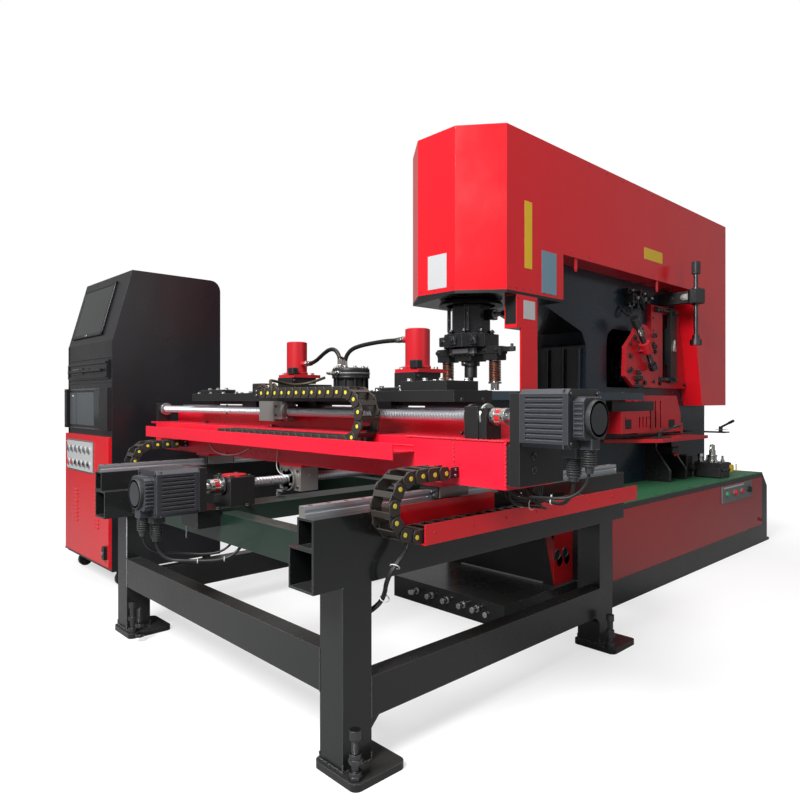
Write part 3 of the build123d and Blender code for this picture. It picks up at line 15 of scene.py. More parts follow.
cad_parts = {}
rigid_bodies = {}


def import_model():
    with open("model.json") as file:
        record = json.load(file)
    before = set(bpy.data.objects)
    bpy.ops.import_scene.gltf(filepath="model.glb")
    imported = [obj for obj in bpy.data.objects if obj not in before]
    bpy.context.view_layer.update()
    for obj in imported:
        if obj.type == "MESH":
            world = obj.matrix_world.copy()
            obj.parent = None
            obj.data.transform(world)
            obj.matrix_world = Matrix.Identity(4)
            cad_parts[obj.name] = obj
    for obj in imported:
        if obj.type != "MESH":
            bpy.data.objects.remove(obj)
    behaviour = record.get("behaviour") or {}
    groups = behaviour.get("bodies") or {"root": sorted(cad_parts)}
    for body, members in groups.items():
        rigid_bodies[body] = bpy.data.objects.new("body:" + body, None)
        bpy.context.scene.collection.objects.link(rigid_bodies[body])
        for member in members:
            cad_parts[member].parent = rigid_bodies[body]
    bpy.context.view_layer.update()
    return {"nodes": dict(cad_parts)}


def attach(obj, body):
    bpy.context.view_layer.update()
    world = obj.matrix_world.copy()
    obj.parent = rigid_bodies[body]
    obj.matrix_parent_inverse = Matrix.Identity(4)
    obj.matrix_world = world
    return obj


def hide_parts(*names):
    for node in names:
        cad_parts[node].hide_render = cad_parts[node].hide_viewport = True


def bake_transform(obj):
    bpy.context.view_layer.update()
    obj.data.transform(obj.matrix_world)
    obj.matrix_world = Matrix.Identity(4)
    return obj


bl_info = {
    "name": "Punching and Shearing Machine",
    "version": (1, 0, 0),
    "blender": (4, 5, 0),
    "location": "3D View > Sidebar > Machine",
    "description": "Finishes the punching and shearing machine and its feed table",
    "category": "Add Mesh",
}

for leftover in list(bpy.data.objects):
    bpy.data.objects.remove(leftover)
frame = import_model()
X, Y, Z = Vector((1, 0, 0)), Vector((0, 1, 0)), Vector((0, 0, 1))


# Values that a user would change

class MachineSizes(bpy.types.PropertyGroup):
    """Sizes of the repeated parts."""
    chain_pitch: FloatProperty(name="Chain pitch", description="Distance between link pins",
                               default=0.0465, unit="LENGTH", subtype="DISTANCE")
    thread_pitch: FloatProperty(name="Thread pitch", description="Distance between screw grooves",
                                default=0.0125, unit="LENGTH", subtype="DISTANCE")
    thread_depth: FloatProperty(name="Thread depth", description="Depth of the screw grooves",
                                default=0.0022, unit="LENGTH", subtype="DISTANCE")
    spring_turns: IntProperty(name="Spring turns", description="Turns of each stripper spring",
                              default=13, min=3, max=20)
    edge_radius: FloatProperty(name="Edge radius", description="Softened radius of every edge",
                               default=0.0018, unit="LENGTH", subtype="DISTANCE")


class MachineColours(bpy.types.PropertyGroup):
    """Paint colours."""
    cover_red: FloatVectorProperty(name="Cover red", description="Paint of the sheet covers",
                                   subtype="COLOR", size=3, default=(0.66, 0.008, 0.016))
    beam_red: FloatVectorProperty(name="Beam red", description="Paint of the cross beam",
                                  subtype="COLOR", size=3, default=(0.74, 0.012, 0.035))
    panel_red: FloatVectorProperty(name="Panel red", description="Paint of the base panels",
                                   subtype="COLOR", size=3, default=(0.33, 0.008, 0.010))
    deck_green: FloatVectorProperty(name="Deck green", description="Paint of the deck",
                                    subtype="COLOR", size=3, default=(0.016, 0.145, 0.055))
    frame_navy: FloatVectorProperty(name="Frame navy", description="Paint of the C frame",
                                    subtype="COLOR", size=3, default=(0.008, 0.017, 0.030))
    frame_black: FloatVectorProperty(name="Frame black", description="Paint of the feed table",
                                     subtype="COLOR", size=3, default=(0.011, 0.012, 0.012))


def sizes():
    return bpy.context.scene.machine_sizes


def colours():
    return bpy.context.scene.machine_colours


# Materials

def put(tree, kind, inputs=None, **settings):
    """A shader node with its settings, and its inputs linked or set."""
    made = tree.nodes.new(kind)
    for key, value in settings.items():
        setattr(made, key, value)
    for key, value in (inputs or {}).items():
        socket = made.inputs[key]
        if isinstance(value, bpy.types.NodeSocket):
            tree.links.new(value, socket)
        else:
            socket.default_value = value
    return made


def maths(tree, operation, *values):
    return put(tree, "ShaderNodeMath", dict(enumerate(values)), operation=operation).outputs[0]


def blend_colour(tree, factor, a, b, kind="MIX"):
    mix = put(tree, "ShaderNodeMix", data_type="RGBA", blend_type=kind)
    for index, value in ((0, factor), (6, a), (7, b)):
        if isinstance(value, bpy.types.NodeSocket):
            tree.links.new(value, mix.inputs[index])
        else:
            mix.inputs[index].default_value = value
    return mix.outputs[2]


def group_tree(name, ins, outs):
    tree = bpy.data.node_groups.new(name, "ShaderNodeTree")
    for label, kind, value in ins:
        socket = tree.interface.new_socket(label, in_out="INPUT", socket_type=kind)
        socket.default_value = value
    for label, kind in outs:
        tree.interface.new_socket(label, in_out="OUTPUT", socket_type=kind)
    return tree, tree.nodes.new("NodeGroupInput").outputs, tree.nodes.new("NodeGroupOutput").inputs


def surface_wear_and_highlight():
    """Node group: colour patches, grain, dust, and rubbed edges that also carry a painted highlight
    along every edge, on a painted or bare surface.
    """
    name = "Worn Surface"
    if name in bpy.data.node_groups:
        return bpy.data.node_groups[name]
    flt, col = "NodeSocketFloat", "NodeSocketColor"
    # The second colour, the edge factor and the last output carry both edge wear and a painted edge
    # highlight.
    tree, given, out = group_tree(name, [
        ("Color", col, (0.5, 0.5, 0.5, 1)), ("Worn Color", col, (0.5, 0.5, 0.5, 1)),
        ("Roughness", flt, 0.4), ("Variation", flt, 0.3), ("Patch Scale", flt, 3),
        ("Grain Scale", flt, 300), ("Grain Depth", flt, 0.0001), ("Edge Wear", flt, 0.3),
        ("Dust", flt, 0.1), ("Waviness", flt, 0.0),
    ], [("Color", col), ("Roughness", flt), ("Normal", "NodeSocketVector"), ("Worn", flt)])
    place = put(tree, "ShaderNodeTexCoord").outputs["Object"]
    patches = put(tree, "ShaderNodeTexNoise", {"Vector": place, "Scale": given["Patch Scale"],
                                               "Detail": 5.0, "Roughness": 0.6}).outputs["Fac"]
    grain = put(tree, "ShaderNodeTexNoise", {"Vector": place, "Scale": given["Grain Scale"],
                                             "Detail": 3.0}).outputs["Fac"]
    swell = put(tree, "ShaderNodeTexNoise", {"Vector": place, "Scale": 9.0, "Detail": 1.0})
    soft = put(tree, "ShaderNodeBevel", {"Radius": sizes().edge_radius}, samples=3)
    flat = put(tree, "ShaderNodeNewGeometry").outputs["Normal"]
    # Edge mask from the bevel: partly rubbed edges, partly a painted highlight where edges would
    # catch the light.
    facing = put(tree, "ShaderNodeVectorMath", {0: soft.outputs[0], 1: flat},
                 operation="DOT_PRODUCT").outputs["Value"]
    edge = maths(tree, "MULTIPLY", maths(tree, "SUBTRACT", 1.0, facing), 9.0)
    chips = maths(tree, "SUBTRACT", maths(tree, "MULTIPLY", patches, 2.4), 0.55)
    edge = put(tree, "ShaderNodeClamp", {0: maths(tree, "MULTIPLY", edge, chips)}).outputs[0]
    wear_and_edge_highlight = maths(tree, "MULTIPLY", edge, given["Edge Wear"])
    shade = maths(tree, "MULTIPLY", patches, given["Variation"])
    darker = blend_colour(tree, 1.0, given["Color"], (0.45, 0.45, 0.45, 1), "MULTIPLY")
    base = blend_colour(tree, shade, given["Color"], darker)
    up = put(tree, "ShaderNodeSeparateXYZ", {0: flat}).outputs[2]
    settled = maths(tree, "MULTIPLY", maths(tree, "MAXIMUM", up, 0.0),
                    maths(tree, "MULTIPLY", given["Dust"], patches))
    base = blend_colour(tree, settled, base, (0.30, 0.28, 0.26, 1))
    # Edges take the second colour: worn paint and a painted edge highlight together.
    base = blend_colour(tree, wear_and_edge_highlight, base, given["Worn Color"])
    tree.links.new(base, out["Color"])
    rough = maths(tree, "ADD", given["Roughness"],
                  maths(tree, "MULTIPLY", maths(tree, "SUBTRACT", patches, 0.45), 0.30))
    rough = maths(tree, "ADD", rough, maths(tree, "MULTIPLY", settled, 0.5))
    tree.links.new(put(tree, "ShaderNodeClamp", {0: rough, 1: 0.04}).outputs[0], out["Roughness"])
    wave = put(tree, "ShaderNodeBump", {"Height": swell.outputs["Fac"], "Strength": 1.0,
                                        "Distance": given["Waviness"], "Normal": soft.outputs[0]})
    bump = put(tree, "ShaderNodeBump", {"Height": grain, "Strength": 0.8, "Normal": wave.outputs[0],
                                        "Distance": given["Grain Depth"]})
    tree.links.new(bump.outputs[0], out["Normal"])
    tree.links.new(wear_and_edge_highlight, out["Worn"])
    return tree


COAT_SHARE, COAT_ROUGHNESS, SPECULAR = 0.5, 0.08, 0.36
# Pale grey for the edges of dark finishes: worn paint and a painted edge highlight.
EDGE_WEAR_AND_HIGHLIGHT_GREY = (0.30, 0.30, 0.31)
FINISHES = {
    # name: colour, colour of worn edges and of the painted edge highlight, metallic, roughness,
    # coat, settings of the worn surface and its painted edge highlight
    "cover red": ("cover_red", (0.80, 0.10, 0.12), 0, 0.20, 0.4,
                  dict(variation=0.22, waviness=0.0012)),
    "beam red": ("beam_red", (0.85, 0.16, 0.20), 0, 0.27, 0.3,
                 dict(variation=0.30, grain_scale=90, grain_depth=0.0003, waviness=0.001)),
    "panel red": ("panel_red", (0.5, 0.08, 0.08), 0, 0.16, 0.3,
                  dict(variation=0.20, waviness=0.0008)),
    "shear red": ((0.50, 0.010, 0.018), (0.6, 0.2, 0.2), 0, 0.32, 0.2, dict(variation=0.35)),
    "frame black": ("frame_black", EDGE_WEAR_AND_HIGHLIGHT_GREY, 0, 0.24, 0.3,
                    dict(variation=0.4, dust=0.10, grain_scale=160, grain_depth=0.0003,
                         edge_wear=0.45, waviness=0.0008)),
    "satin black": ((0.014, 0.014, 0.015), EDGE_WEAR_AND_HIGHLIGHT_GREY, 0, 0.38, 0, dict(variation=0.35, dust=0.06)),
    "gloss black": ((0.007, 0.008, 0.011), EDGE_WEAR_AND_HIGHLIGHT_GREY, 0, 0.14, 0.5, dict(variation=0.3, dust=0.05)),
    "cabinet black": ((0.011, 0.011, 0.013), (0.12, 0.12, 0.13), 0, 0.30, 0.2,
                      dict(variation=0.3, grain_scale=900, grain_depth=0.00015, waviness=0.0006)),
    "hammered black": ((0.016, 0.016, 0.018), (0.28, 0.29, 0.31), 0.35, 0.16, 1.0,
                       dict(variation=0.3, grain_scale=90, grain_depth=0.0035, edge_wear=0.9)),
    "frame navy": ("frame_navy", (0.10, 0.12, 0.15), 0, 0.26, 0.3,
                   dict(variation=0.3, waviness=0.0008)),
    "deck green": ("deck_green", (0.20, 0.32, 0.24), 0, 0.42, 0, dict(variation=0.4, dust=0.15)),
    "dark green": ((0.008, 0.022, 0.015), EDGE_WEAR_AND_HIGHLIGHT_GREY, 0, 0.30, 0.2, dict(variation=0.4, dust=0.1)),
    "steel": ((0.46, 0.45, 0.44), (0.7, 0.7, 0.7), 1, 0.30, 0,
              dict(variation=0.35, grain_depth=0.00015)),
    "zinc": ((0.52, 0.52, 0.50), (0.7, 0.7, 0.7), 1, 0.34, 0, dict(variation=0.3)),
    "chrome": ((0.72, 0.71, 0.70), (0.8, 0.8, 0.8), 1, 0.12, 0, dict(variation=0.2)),
    "dark steel": ((0.10, 0.10, 0.105), (0.4, 0.4, 0.4), 1, 0.36, 0, dict(variation=0.4)),
    "nut grey": ((0.36, 0.345, 0.33), (0.5, 0.5, 0.5), 0.75, 0.42, 0, dict(variation=0.35)),
    "plate grey": ((0.17, 0.18, 0.185), (0.4, 0.4, 0.4), 0.3, 0.42, 0, dict(variation=0.25)),
    "spring copper": ((0.115, 0.036, 0.020), (0.5, 0.25, 0.18), 0.6, 0.36, 0, dict(variation=0.4)),
    "chain plastic": ((0.030, 0.026, 0.022), (0.12, 0.11, 0.10), 0, 0.46, 0,
                      dict(variation=0.4, dust=0.12, grain_scale=600, grain_depth=0.0002)),
    "pin yellow": ((0.72, 0.56, 0.035), (0.8, 0.7, 0.3), 0, 0.42, 0, dict(variation=0.3)),
    "motor black": ((0.046, 0.048, 0.056), (0.25, 0.26, 0.28), 0.25, 0.30, 0,
                    dict(variation=0.3, dust=0.08, edge_wear=0.7)),
    "cap black": ((0.030, 0.035, 0.034), (0.1, 0.1, 0.1), 0, 0.30, 0.1, dict(variation=0.25)),
    "rubber": ((0.010, 0.010, 0.010), (0.08, 0.08, 0.08), 0, 0.46, 0,
               dict(variation=0.4, dust=0.1)),
    "tie white": ((0.62, 0.62, 0.60), (0.7, 0.7, 0.7), 0, 0.45, 0, dict(variation=0.15)),
    "label plate": ((0.52, 0.53, 0.54), (0.6, 0.6, 0.6), 0.1, 0.35, 0, dict(variation=0.15)),
    "strip yellow": ((0.72, 0.46, 0.02), (0.8, 0.7, 0.3), 0, 0.35, 0, dict(variation=0.2)),
    "screen glass": ((0.012, 0.017, 0.016), (0.05, 0.05, 0.05), 0, 0.08, 0.6, dict(variation=0.15)),
    "panel grey": ((0.075, 0.082, 0.090), (0.2, 0.2, 0.2), 0, 0.30, 0.1, dict(variation=0.25)),
    "button red": ((0.60, 0.01, 0.012), (0.7, 0.2, 0.2), 0, 0.30, 0.2, dict(variation=0.15)),
    "button green": ((0.02, 0.30, 0.08), (0.2, 0.5, 0.3), 0, 0.30, 0.2, dict(variation=0.15)),
    # The braid's gold second colour is rubbed braid and a painted highlight on its edges.
    "hose braid": ((0.055, 0.040, 0.018), (0.40, 0.28, 0.08), 0.3, 0.38, 0,
                   dict(variation=0.5, grain_scale=500, grain_depth=0.0006)),
    "plate blue": ((0.16, 0.27, 0.34), (0.3, 0.4, 0.45), 0, 0.35, 0, dict(variation=0.15)),
    "blue steel": ((0.055, 0.075, 0.095), (0.3, 0.3, 0.32), 0.6, 0.22, 0.2,
                   dict(variation=0.35, dust=0.06)),
}


def finish(name):
    """The material of a finish, made when it is first asked for."""
    if name in bpy.data.materials:
        return bpy.data.materials[name]
    # The second colour is both worn paint and the painted highlight along edges.
    colour, wear_and_edge_highlight, metallic, roughness, coat, wear = FINISHES[name]
    colour = tuple(getattr(colours(), colour)) if isinstance(colour, str) else colour
    made = bpy.data.materials.new(name)
    made.use_nodes = True
    tree = made.node_tree
    shader = tree.nodes["Principled BSDF"]
    values = {"Color": (*colour, 1), "Worn Color": (*wear_and_edge_highlight, 1), "Roughness": roughness}
    for key, value in wear.items():
        values[key.replace("_", " ").title()] = value
    group = put(tree, "ShaderNodeGroup", node_tree=surface_wear_and_highlight())
    for key, value in values.items():
        group.inputs[key].default_value = value
    for source in ("Color", "Roughness", "Normal"):
        target = "Base Color" if source == "Color" else source
        tree.links.new(group.outputs[source], shader.inputs[target])
    shader.inputs["Metallic"].default_value = metallic
    shader.inputs["Coat Weight"].default_value = coat * COAT_SHARE
    shader.inputs["Coat Roughness"].default_value = COAT_ROUGHNESS
    shader.inputs["Specular IOR Level"].default_value = SPECULAR
    made.diffuse_color = (*colour, 1)
    return made


# Making pieces

def upright(way):
    """Matrix that turns +Z to a direction."""
    return Z.rotation_difference(way).to_matrix().to_4x4()


def around(centre, radius, count, axis=Z, first=X, start=0.0):
    """Spots evenly round an axis, each with its direction outwards."""
    for step in range(count):
        way = Matrix.Rotation(start + step * 2 * pi / count, 3, axis) @ first
        yield Vector(centre) + way * radius, way


def linked(verts, kind):
    """The faces or edges at some corners, each once and in a fixed order."""
    return list(dict.fromkeys(item for v in verts for item in getattr(v, kind)))


class Work:
    """A piece in the making: a mesh in millimetres whose faces each take one of its finishes."""

    def __init__(self, *finishes):
        self.mesh = bmesh.new()
        self.finishes = list(finishes)

    def slot(self, name):
        if name not in self.finishes:
            self.finishes.append(name)
        return self.finishes.index(name)

    def dress(self, verts, coat, bevel, edges=None, segments=1):
        """Gives new faces their finish and bevels their edges."""
        index = self.slot(coat) if coat else 0
        for face in linked(verts, "link_faces"):
            face.material_index = index
        if bevel:
            edges = linked(verts, "link_edges") if edges is None else edges
            bmesh.ops.bevel(self.mesh, geom=edges, offset=bevel, offset_type="OFFSET",
                            segments=segments, profile=0.5, affect="EDGES", material=-1,
                            clamp_overlap=True)

    def box(self, x, y, z, coat=None, bevel=1.0, turn=None):
        """A box between two limits on each axis, set at a matrix where one is given."""
        size = Matrix.Diagonal((x[1] - x[0], y[1] - y[0], z[1] - z[0], 1))
        middle = Matrix.Translation(((x[0] + x[1]) / 2, (y[0] + y[1]) / 2, (z[0] + z[1]) / 2))
        where = middle @ size if turn is None else turn @ middle @ size
        verts = bmesh.ops.create_cube(self.mesh, size=1, matrix=where)["verts"]
        self.dress(verts, coat, bevel)

    def rod(self, start, way, length, radius, coat=None, bevel=0.8, sides=28, tip=None):
        """A round bar or cone from a point along a direction."""
        way = Vector(way).normalized()
        where = Matrix.Translation(Vector(start) + way * length / 2) @ upright(way)
        verts = bmesh.ops.create_cone(self.mesh, cap_ends=True, cap_tris=False, segments=sides,
                                      radius1=radius, radius2=radius if tip is None else tip,
                                      depth=length, matrix=where)["verts"]
        caps = [e for e in linked(verts, "link_edges")
                if any(len(f.verts) == sides for f in e.link_faces)]
        self.dress(verts, coat, bevel, caps)

    def bolt(self, start, way, radius=8, height=7, coat="zinc", washer=True, sides=6):
        """A hexagon bolt head on its washer."""
        way = Vector(way).normalized()
        if washer:
            self.rod(start, way, 1.6, radius * 1.45, coat, 0.3, 20)
            start = Vector(start) + way * 1.6
        self.rod(start, way, height, radius, coat, 0.8, sides)

    def socket_screw(self, start, way, radius=6, height=6, coat="dark steel"):
        """A cylinder head screw with the recess of its key."""
        way = Vector(way).normalized()
        self.rod(start, way, height, radius, coat, 0.6, 16)
        self.rod(Vector(start) + way * (height - 0.6), way, 0.9, radius * 0.45, "rubber", 0, 6)

    def plate(self, points, axis, limits, coat=None, bevel=1.0):
        """A plate cut to an outline across an axis; points are the other two coordinates."""
        order = {"x": (1, 2, 0), "y": (0, 2, 1), "z": (0, 1, 2)}[axis]
        corners = []
        for a, b in points:
            place = [0, 0, 0]
            place[order[0]], place[order[1]], place[order[2]] = a, b, limits[0]
            corners.append(self.mesh.verts.new(place))
        face = self.mesh.faces.new(corners)
        deep = bmesh.ops.extrude_face_region(self.mesh, geom=[face], use_keep_orig=True)["geom"]
        moved = [g for g in deep if isinstance(g, bmesh.types.BMVert)]
        shift = [0, 0, 0]
        shift[order[2]] = limits[1] - limits[0]
        bmesh.ops.translate(self.mesh, vec=shift, verts=moved)
        verts = corners + moved
        bmesh.ops.recalc_face_normals(self.mesh, faces=linked(verts, "link_faces"))
        self.dress(verts, coat, bevel)

    def lathe(self, profile, origin, way, coat=None, sides=32, lead=0.0):
        """A turned shape from (distance, radius) points; a lead makes it a thread."""
        way = Vector(way).normalized()
        out = way.orthogonal().normalized()
        origin = Vector(origin)
        part = bmesh.new()
        verts = [part.verts.new(origin + way * h + out * r) for h, r in profile]
        edges = [part.edges.new(pair) for pair in zip(verts, verts[1:])]
        bmesh.ops.spin(part, geom=verts + edges, cent=origin, axis=way, dvec=way * (lead / sides),
                       angle=2 * pi, steps=sides, use_merge=not lead, use_duplicate=False)
        self.take(part, coat)

    def take(self, part, coat):
        """Adds a spun shape, merged and facing outwards."""
        bmesh.ops.remove_doubles(part, verts=part.verts, dist=0.02)
        bmesh.ops.recalc_face_normals(part, faces=part.faces)
        index = self.slot(coat) if coat else 0
        for face in part.faces:
            face.material_index = index
        made = bpy.data.meshes.new("spun")
        part.to_mesh(made)
        part.free()
        self.mesh.from_mesh(made)
        bpy.data.meshes.remove(made)

    def ring(self, centre, way, radius, wire, coat=None, sides=32, turns=1.0, height=0.0,
             facets=10):
        """A round wire bent into a ring or a helix."""
        way = Vector(way).normalized()
        out = way.orthogonal().normalized()
        part = bmesh.new()
        turn = Matrix.Translation(Vector(centre) + out * radius) @ upright(way.cross(out))
        verts = bmesh.ops.create_circle(part, cap_ends=height > 0, segments=facets, radius=wire,
                                        matrix=turn)["verts"]
        steps = int(sides * turns)
        geom = verts + part.edges[:] + part.faces[:]
        bmesh.ops.spin(part, geom=geom, cent=centre, axis=way, dvec=way * (height / steps),
                       angle=2 * pi * turns, steps=steps, use_merge=not height, use_duplicate=False)
        self.take(part, coat)

    def stamp(self, pattern, where):
        """A copy of another mesh, set at a matrix."""
        copy = pattern.copy()
        copy.transform(where)
        self.mesh.from_mesh(copy)
        bpy.data.meshes.remove(copy)

    def pattern(self, name):
        """Keeps the work as a mesh to stamp."""
        made = bpy.data.meshes.new(name)
        self.mesh.to_mesh(made)
        self.mesh.free()
        return made

    def place(self, name, body, slot=None, replaces=(), angle=32, blend=None):
        """Brings the work to metres and makes it a piece that rides on a body; given a blend, the
        piece is left unparented where it stands.
        """
        bmesh.ops.scale(self.mesh, vec=(0.001, 0.001, 0.001), verts=self.mesh.verts)
        made = bpy.data.meshes.new(name)
        self.mesh.to_mesh(made)
        self.mesh.free()
        for coat in self.finishes:
            made.materials.append(finish(coat))
        made.shade_smooth()
        made.set_sharp_from_angle(angle=radians(angle))
        piece = bpy.data.objects.new(name, made)
        bpy.context.scene.collection.objects.link(piece)
        if blend:
            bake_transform(piece)
        else:
            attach(piece, body)
        if replaces:
            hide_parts(*replaces)
        return piece


# What each CAD node is finished in

FINISH_NODES = {
    "frame black": "base_frame shear_table table_frame",
    "panel red": "base_panels",
    "deck green": "deck_plate",
    "frame navy": "c_frame",
    "cover red": "head_cover middle_cover rear_cover cable_trays lower_door",
    "hammered black": "punch_cylinder",
    "dark steel": "punch angle_screw angle_pad hold_down_spindle hold_down_pad shear_blade "
                  "levelling_bolts left_jaw right_jaw",
    "chrome": "hold_down_pins",
    "blue steel": "die_set",
    "shear red": "shear_housing angle_guard clamp_bodies",
    "rubber": "beam_cables table_cables",
    "plate grey": "button_plate",
    "button green": "start_button",
    "button red": "stop_button return_button",
    "steel": "y_rails x_rail",
    "motor black": "y_motor x_motor",
    "beam red": "cross_beam",
    "nut grey": "y_guide_blocks x_nut",
    "cabinet black": "cabinet_body keyboard_drawer",
    "screen glass": "cabinet_panels",
}
NODE_FINISH = {node: coat for coat, nodes in FINISH_NODES.items() for node in nodes.split()}
# Parts of a node that differ from the rest of it: finish and the box that holds their faces
NODE_PARTS = {
    "c_frame": [("hammered black", (-140, 140), (700, 800), (1020, 1400)),
                ("satin black", (-310, 310), (-260, 352), (1480, 1500)),
                ("hammered black", (-140, 140), (-160, 800), (1380, 1560))],
    "die_set": [("steel", (-60, 60), (-60, 60), (990, 1060))],
    "clamp_bodies": [("satin black", (-160, 10), (-790, -610), (1020, 1150)),
                     ("satin black", (-560, -540), (-790, -500), (1020, 1117)),
                     ("satin black", (-560, 420), (-790, -500), (1020, 1103))],
    "x_nut": [("dark steel", (-600, 500), (-960, -840), (940, 996))],
    "lower_door": [("label plate", (-2098, -1668), (-1400, -1222.6), (590, 770)),
                   ("satin black", (-1500, -1440), (-1400, -1222.6), (150, 235)),
                   ("satin black", (-2180, -2151), (-1300, -1100), (0, 900))],
    "cabinet_panels": [("panel grey", (-2109, -1559), (-1210, -1202), (830, 1070)),
                       ("cabinet black", (-2151, -2111), (-1230, -1202), (830, 1070)),
                       ("cabinet black", (-1557, -1442), (-1230, -1202), (830, 1070))],
    "shear_table": [("shear red", (165, 402), (960, 1900), (751, 773)),
                    ("dark steel", (165, 480), (960, 2080), (773.5, 840))],
    "shear_housing": [("satin black", (250, 292), (850, 1365), (935.5, 1000)),
                      ("satin black", (200.5, 213), (1400, 2100), (1080, 1603))],
    "angle_guard": [("satin black", (245.4, 254.5), (1090, 1513), (1076, 1456))],
    "shear_bar": [("zinc", (226.4, 234.8), (1763, 1803), (1300, 1402))],
    "base_panels": [("satin black", (-262, 262), (230, 241), (100, 381))],
    "table_frame": [("dark green", (-700, 640), (-1380, -60), (400, 640))],
    "y_bearing_blocks": [("shear red", (-60, 60), (-1350, -1240), (731.2, 740))],
    "valve_block": [("strip yellow", (300, 370), (2410, 2470), (490, 545)),
                    ("zinc", (300, 480), (1910, 2060), (594, 720))],
    "hold_down_spindle": [("satin black", (370, 430), (1670, 1730), (1790, 1900))],
    "button_plate": [("satin black", (528, 560), (2200, 2270), (380, 430))],
}


def paint_nodes():
    """Gives every CAD node its finish, face by face where its parts differ."""
    for name, node in frame["nodes"].items():
        coats = [NODE_FINISH.get(name, "satin black")]
        parts = NODE_PARTS.get(name, [])
        coats += [part[0] for part in parts]
        mesh = node.data
        mesh.materials.clear()
        for coat in coats:
            mesh.materials.append(finish(coat))
        for face in mesh.polygons:
            centre = face.center * 1000
            face.material_index = 0
            for index, (_, *box) in enumerate(parts, 1):
                if all(low <= value <= high for value, (low, high) in zip(centre, box)):
                    face.material_index = index
        mesh.update()


# Stage

EYE = (2.0929, -2.4676, 1.000)
HEADING = 46.5
SENSOR = 36.0
LENS = SENSOR * 652 / 800
FLOOR_HALF = 40
SHADOW_NEAR, SHADOW_FAR = 2.2, 6.0
GLOW_NEAR, GLOW_FAR = 0.62, 1.0
SKY_GLOSSY, SKY_DIFFUSE = 0.20, 0.30
LAMPS = (
    # name, place, aim, width, watts
    ("key", (1.2, -4.6, 4.2), (-0.3, 0.2, 0.9), 2.0, 500),
    ("fill", (5.4, 0.4, 3.0), (0.2, 0.8, 1.0), 3.0, 30),
    ("top", (-0.4, 0.3, 5.6), (-0.4, 0.3, 0.0), 4.0, 110),
)


def studio():
    """Camera at the photograph's view, a pale floor, a plain world and soft lamps."""
    scene = bpy.context.scene
    scene.view_settings.view_transform = "Standard"
    lens = bpy.data.cameras.new("camera")
    lens.sensor_width = SENSOR
    lens.lens = LENS
    lens.clip_start, lens.clip_end = 0.05, 100
    camera = bpy.data.objects.new("camera", lens)
    camera.location = EYE
    camera.rotation_euler = (radians(90), 0, radians(HEADING))
    scene.collection.objects.link(camera)
    scene.camera = camera

    ground = bmesh.new()
    bmesh.ops.create_grid(ground, x_segments=1, y_segments=1, size=FLOOR_HALF)
    data = bpy.data.meshes.new("floor")
    ground.to_mesh(data)
    ground.free()
    floor = bpy.data.objects.new("floor", data)
    scene.collection.objects.link(floor)
    pale = bpy.data.materials.new("pale floor")
    pale.use_nodes = True
    shader = pale.node_tree.nodes["Principled BSDF"]
    shader.inputs["Base Color"].default_value = (0.36, 0.36, 0.36, 1)
    shader.inputs["Roughness"].default_value = 0.9
    tree = pale.node_tree
    seen = put(tree, "ShaderNodeLightPath").outputs["Is Camera Ray"]
    spot = put(tree, "ShaderNodeNewGeometry").outputs["Position"]
    away = put(tree, "ShaderNodeVectorMath", {0: spot}, operation="LENGTH").outputs["Value"]
    glow = put(tree, "ShaderNodeMapRange", {0: away, 1: SHADOW_NEAR, 2: SHADOW_FAR,
                                            3: GLOW_NEAR, 4: GLOW_FAR}).outputs[0]
    tree.links.new(maths(tree, "MULTIPLY", seen, glow), shader.inputs["Emission Strength"])
    shader.inputs["Emission Color"].default_value = (1, 1, 1, 1)
    data.materials.append(pale)

    world = bpy.data.worlds.new("studio")
    scene.world = world
    world.use_nodes = True
    tree = world.node_tree
    tree.nodes.clear()
    path = put(tree, "ShaderNodeLightPath").outputs
    seen = maths(tree, "MAXIMUM", path["Is Camera Ray"], path["Is Transmission Ray"])
    glossy = maths(tree, "MULTIPLY", path["Is Glossy Ray"], SKY_GLOSSY)
    strength = maths(tree, "MAXIMUM", maths(tree, "MAXIMUM", seen, glossy), SKY_DIFFUSE)
    sky = put(tree, "ShaderNodeBackground", {"Color": (1, 1, 1, 1), "Strength": strength})
    put(tree, "ShaderNodeOutputWorld", {"Surface": sky.outputs[0]})

    for name, place, aim, size, power in LAMPS:
        lamp = bpy.data.lights.new(name, "AREA")
        lamp.shape, lamp.size, lamp.energy = "SQUARE", size, power
        holder = bpy.data.objects.new(name, lamp)
        holder.location = place
        holder.rotation_euler = (Vector(aim) - Vector(place)).to_track_quat("-Z", "Y").to_euler()
        scene.collection.objects.link(holder)


# Hoses

def hose(name, routes, radius, body, coat, replaces=()):
    """Hoses as smooth splines with their routes' points as control points."""
    curve = bpy.data.curves.new(name, "CURVE")
    curve.dimensions = "3D"
    curve.bevel_depth = radius * 0.001
    curve.bevel_resolution = 4
    curve.resolution_u = 8
    curve.use_fill_caps = True
    for route in routes:
        spline = curve.splines.new("NURBS")
        spline.points.add(len(route) - 1)
        for point, place in zip(spline.points, route):
            point.co = (*(Vector(place) * 0.001), 1)
        spline.order_u = 3
        spline.use_endpoint_u = True
    curve.materials.append(finish(coat))
    piece = bpy.data.objects.new(name, curve)
    bpy.context.scene.collection.objects.link(piece)
    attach(piece, body)
    if replaces:
        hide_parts(*replaces)
    return piece


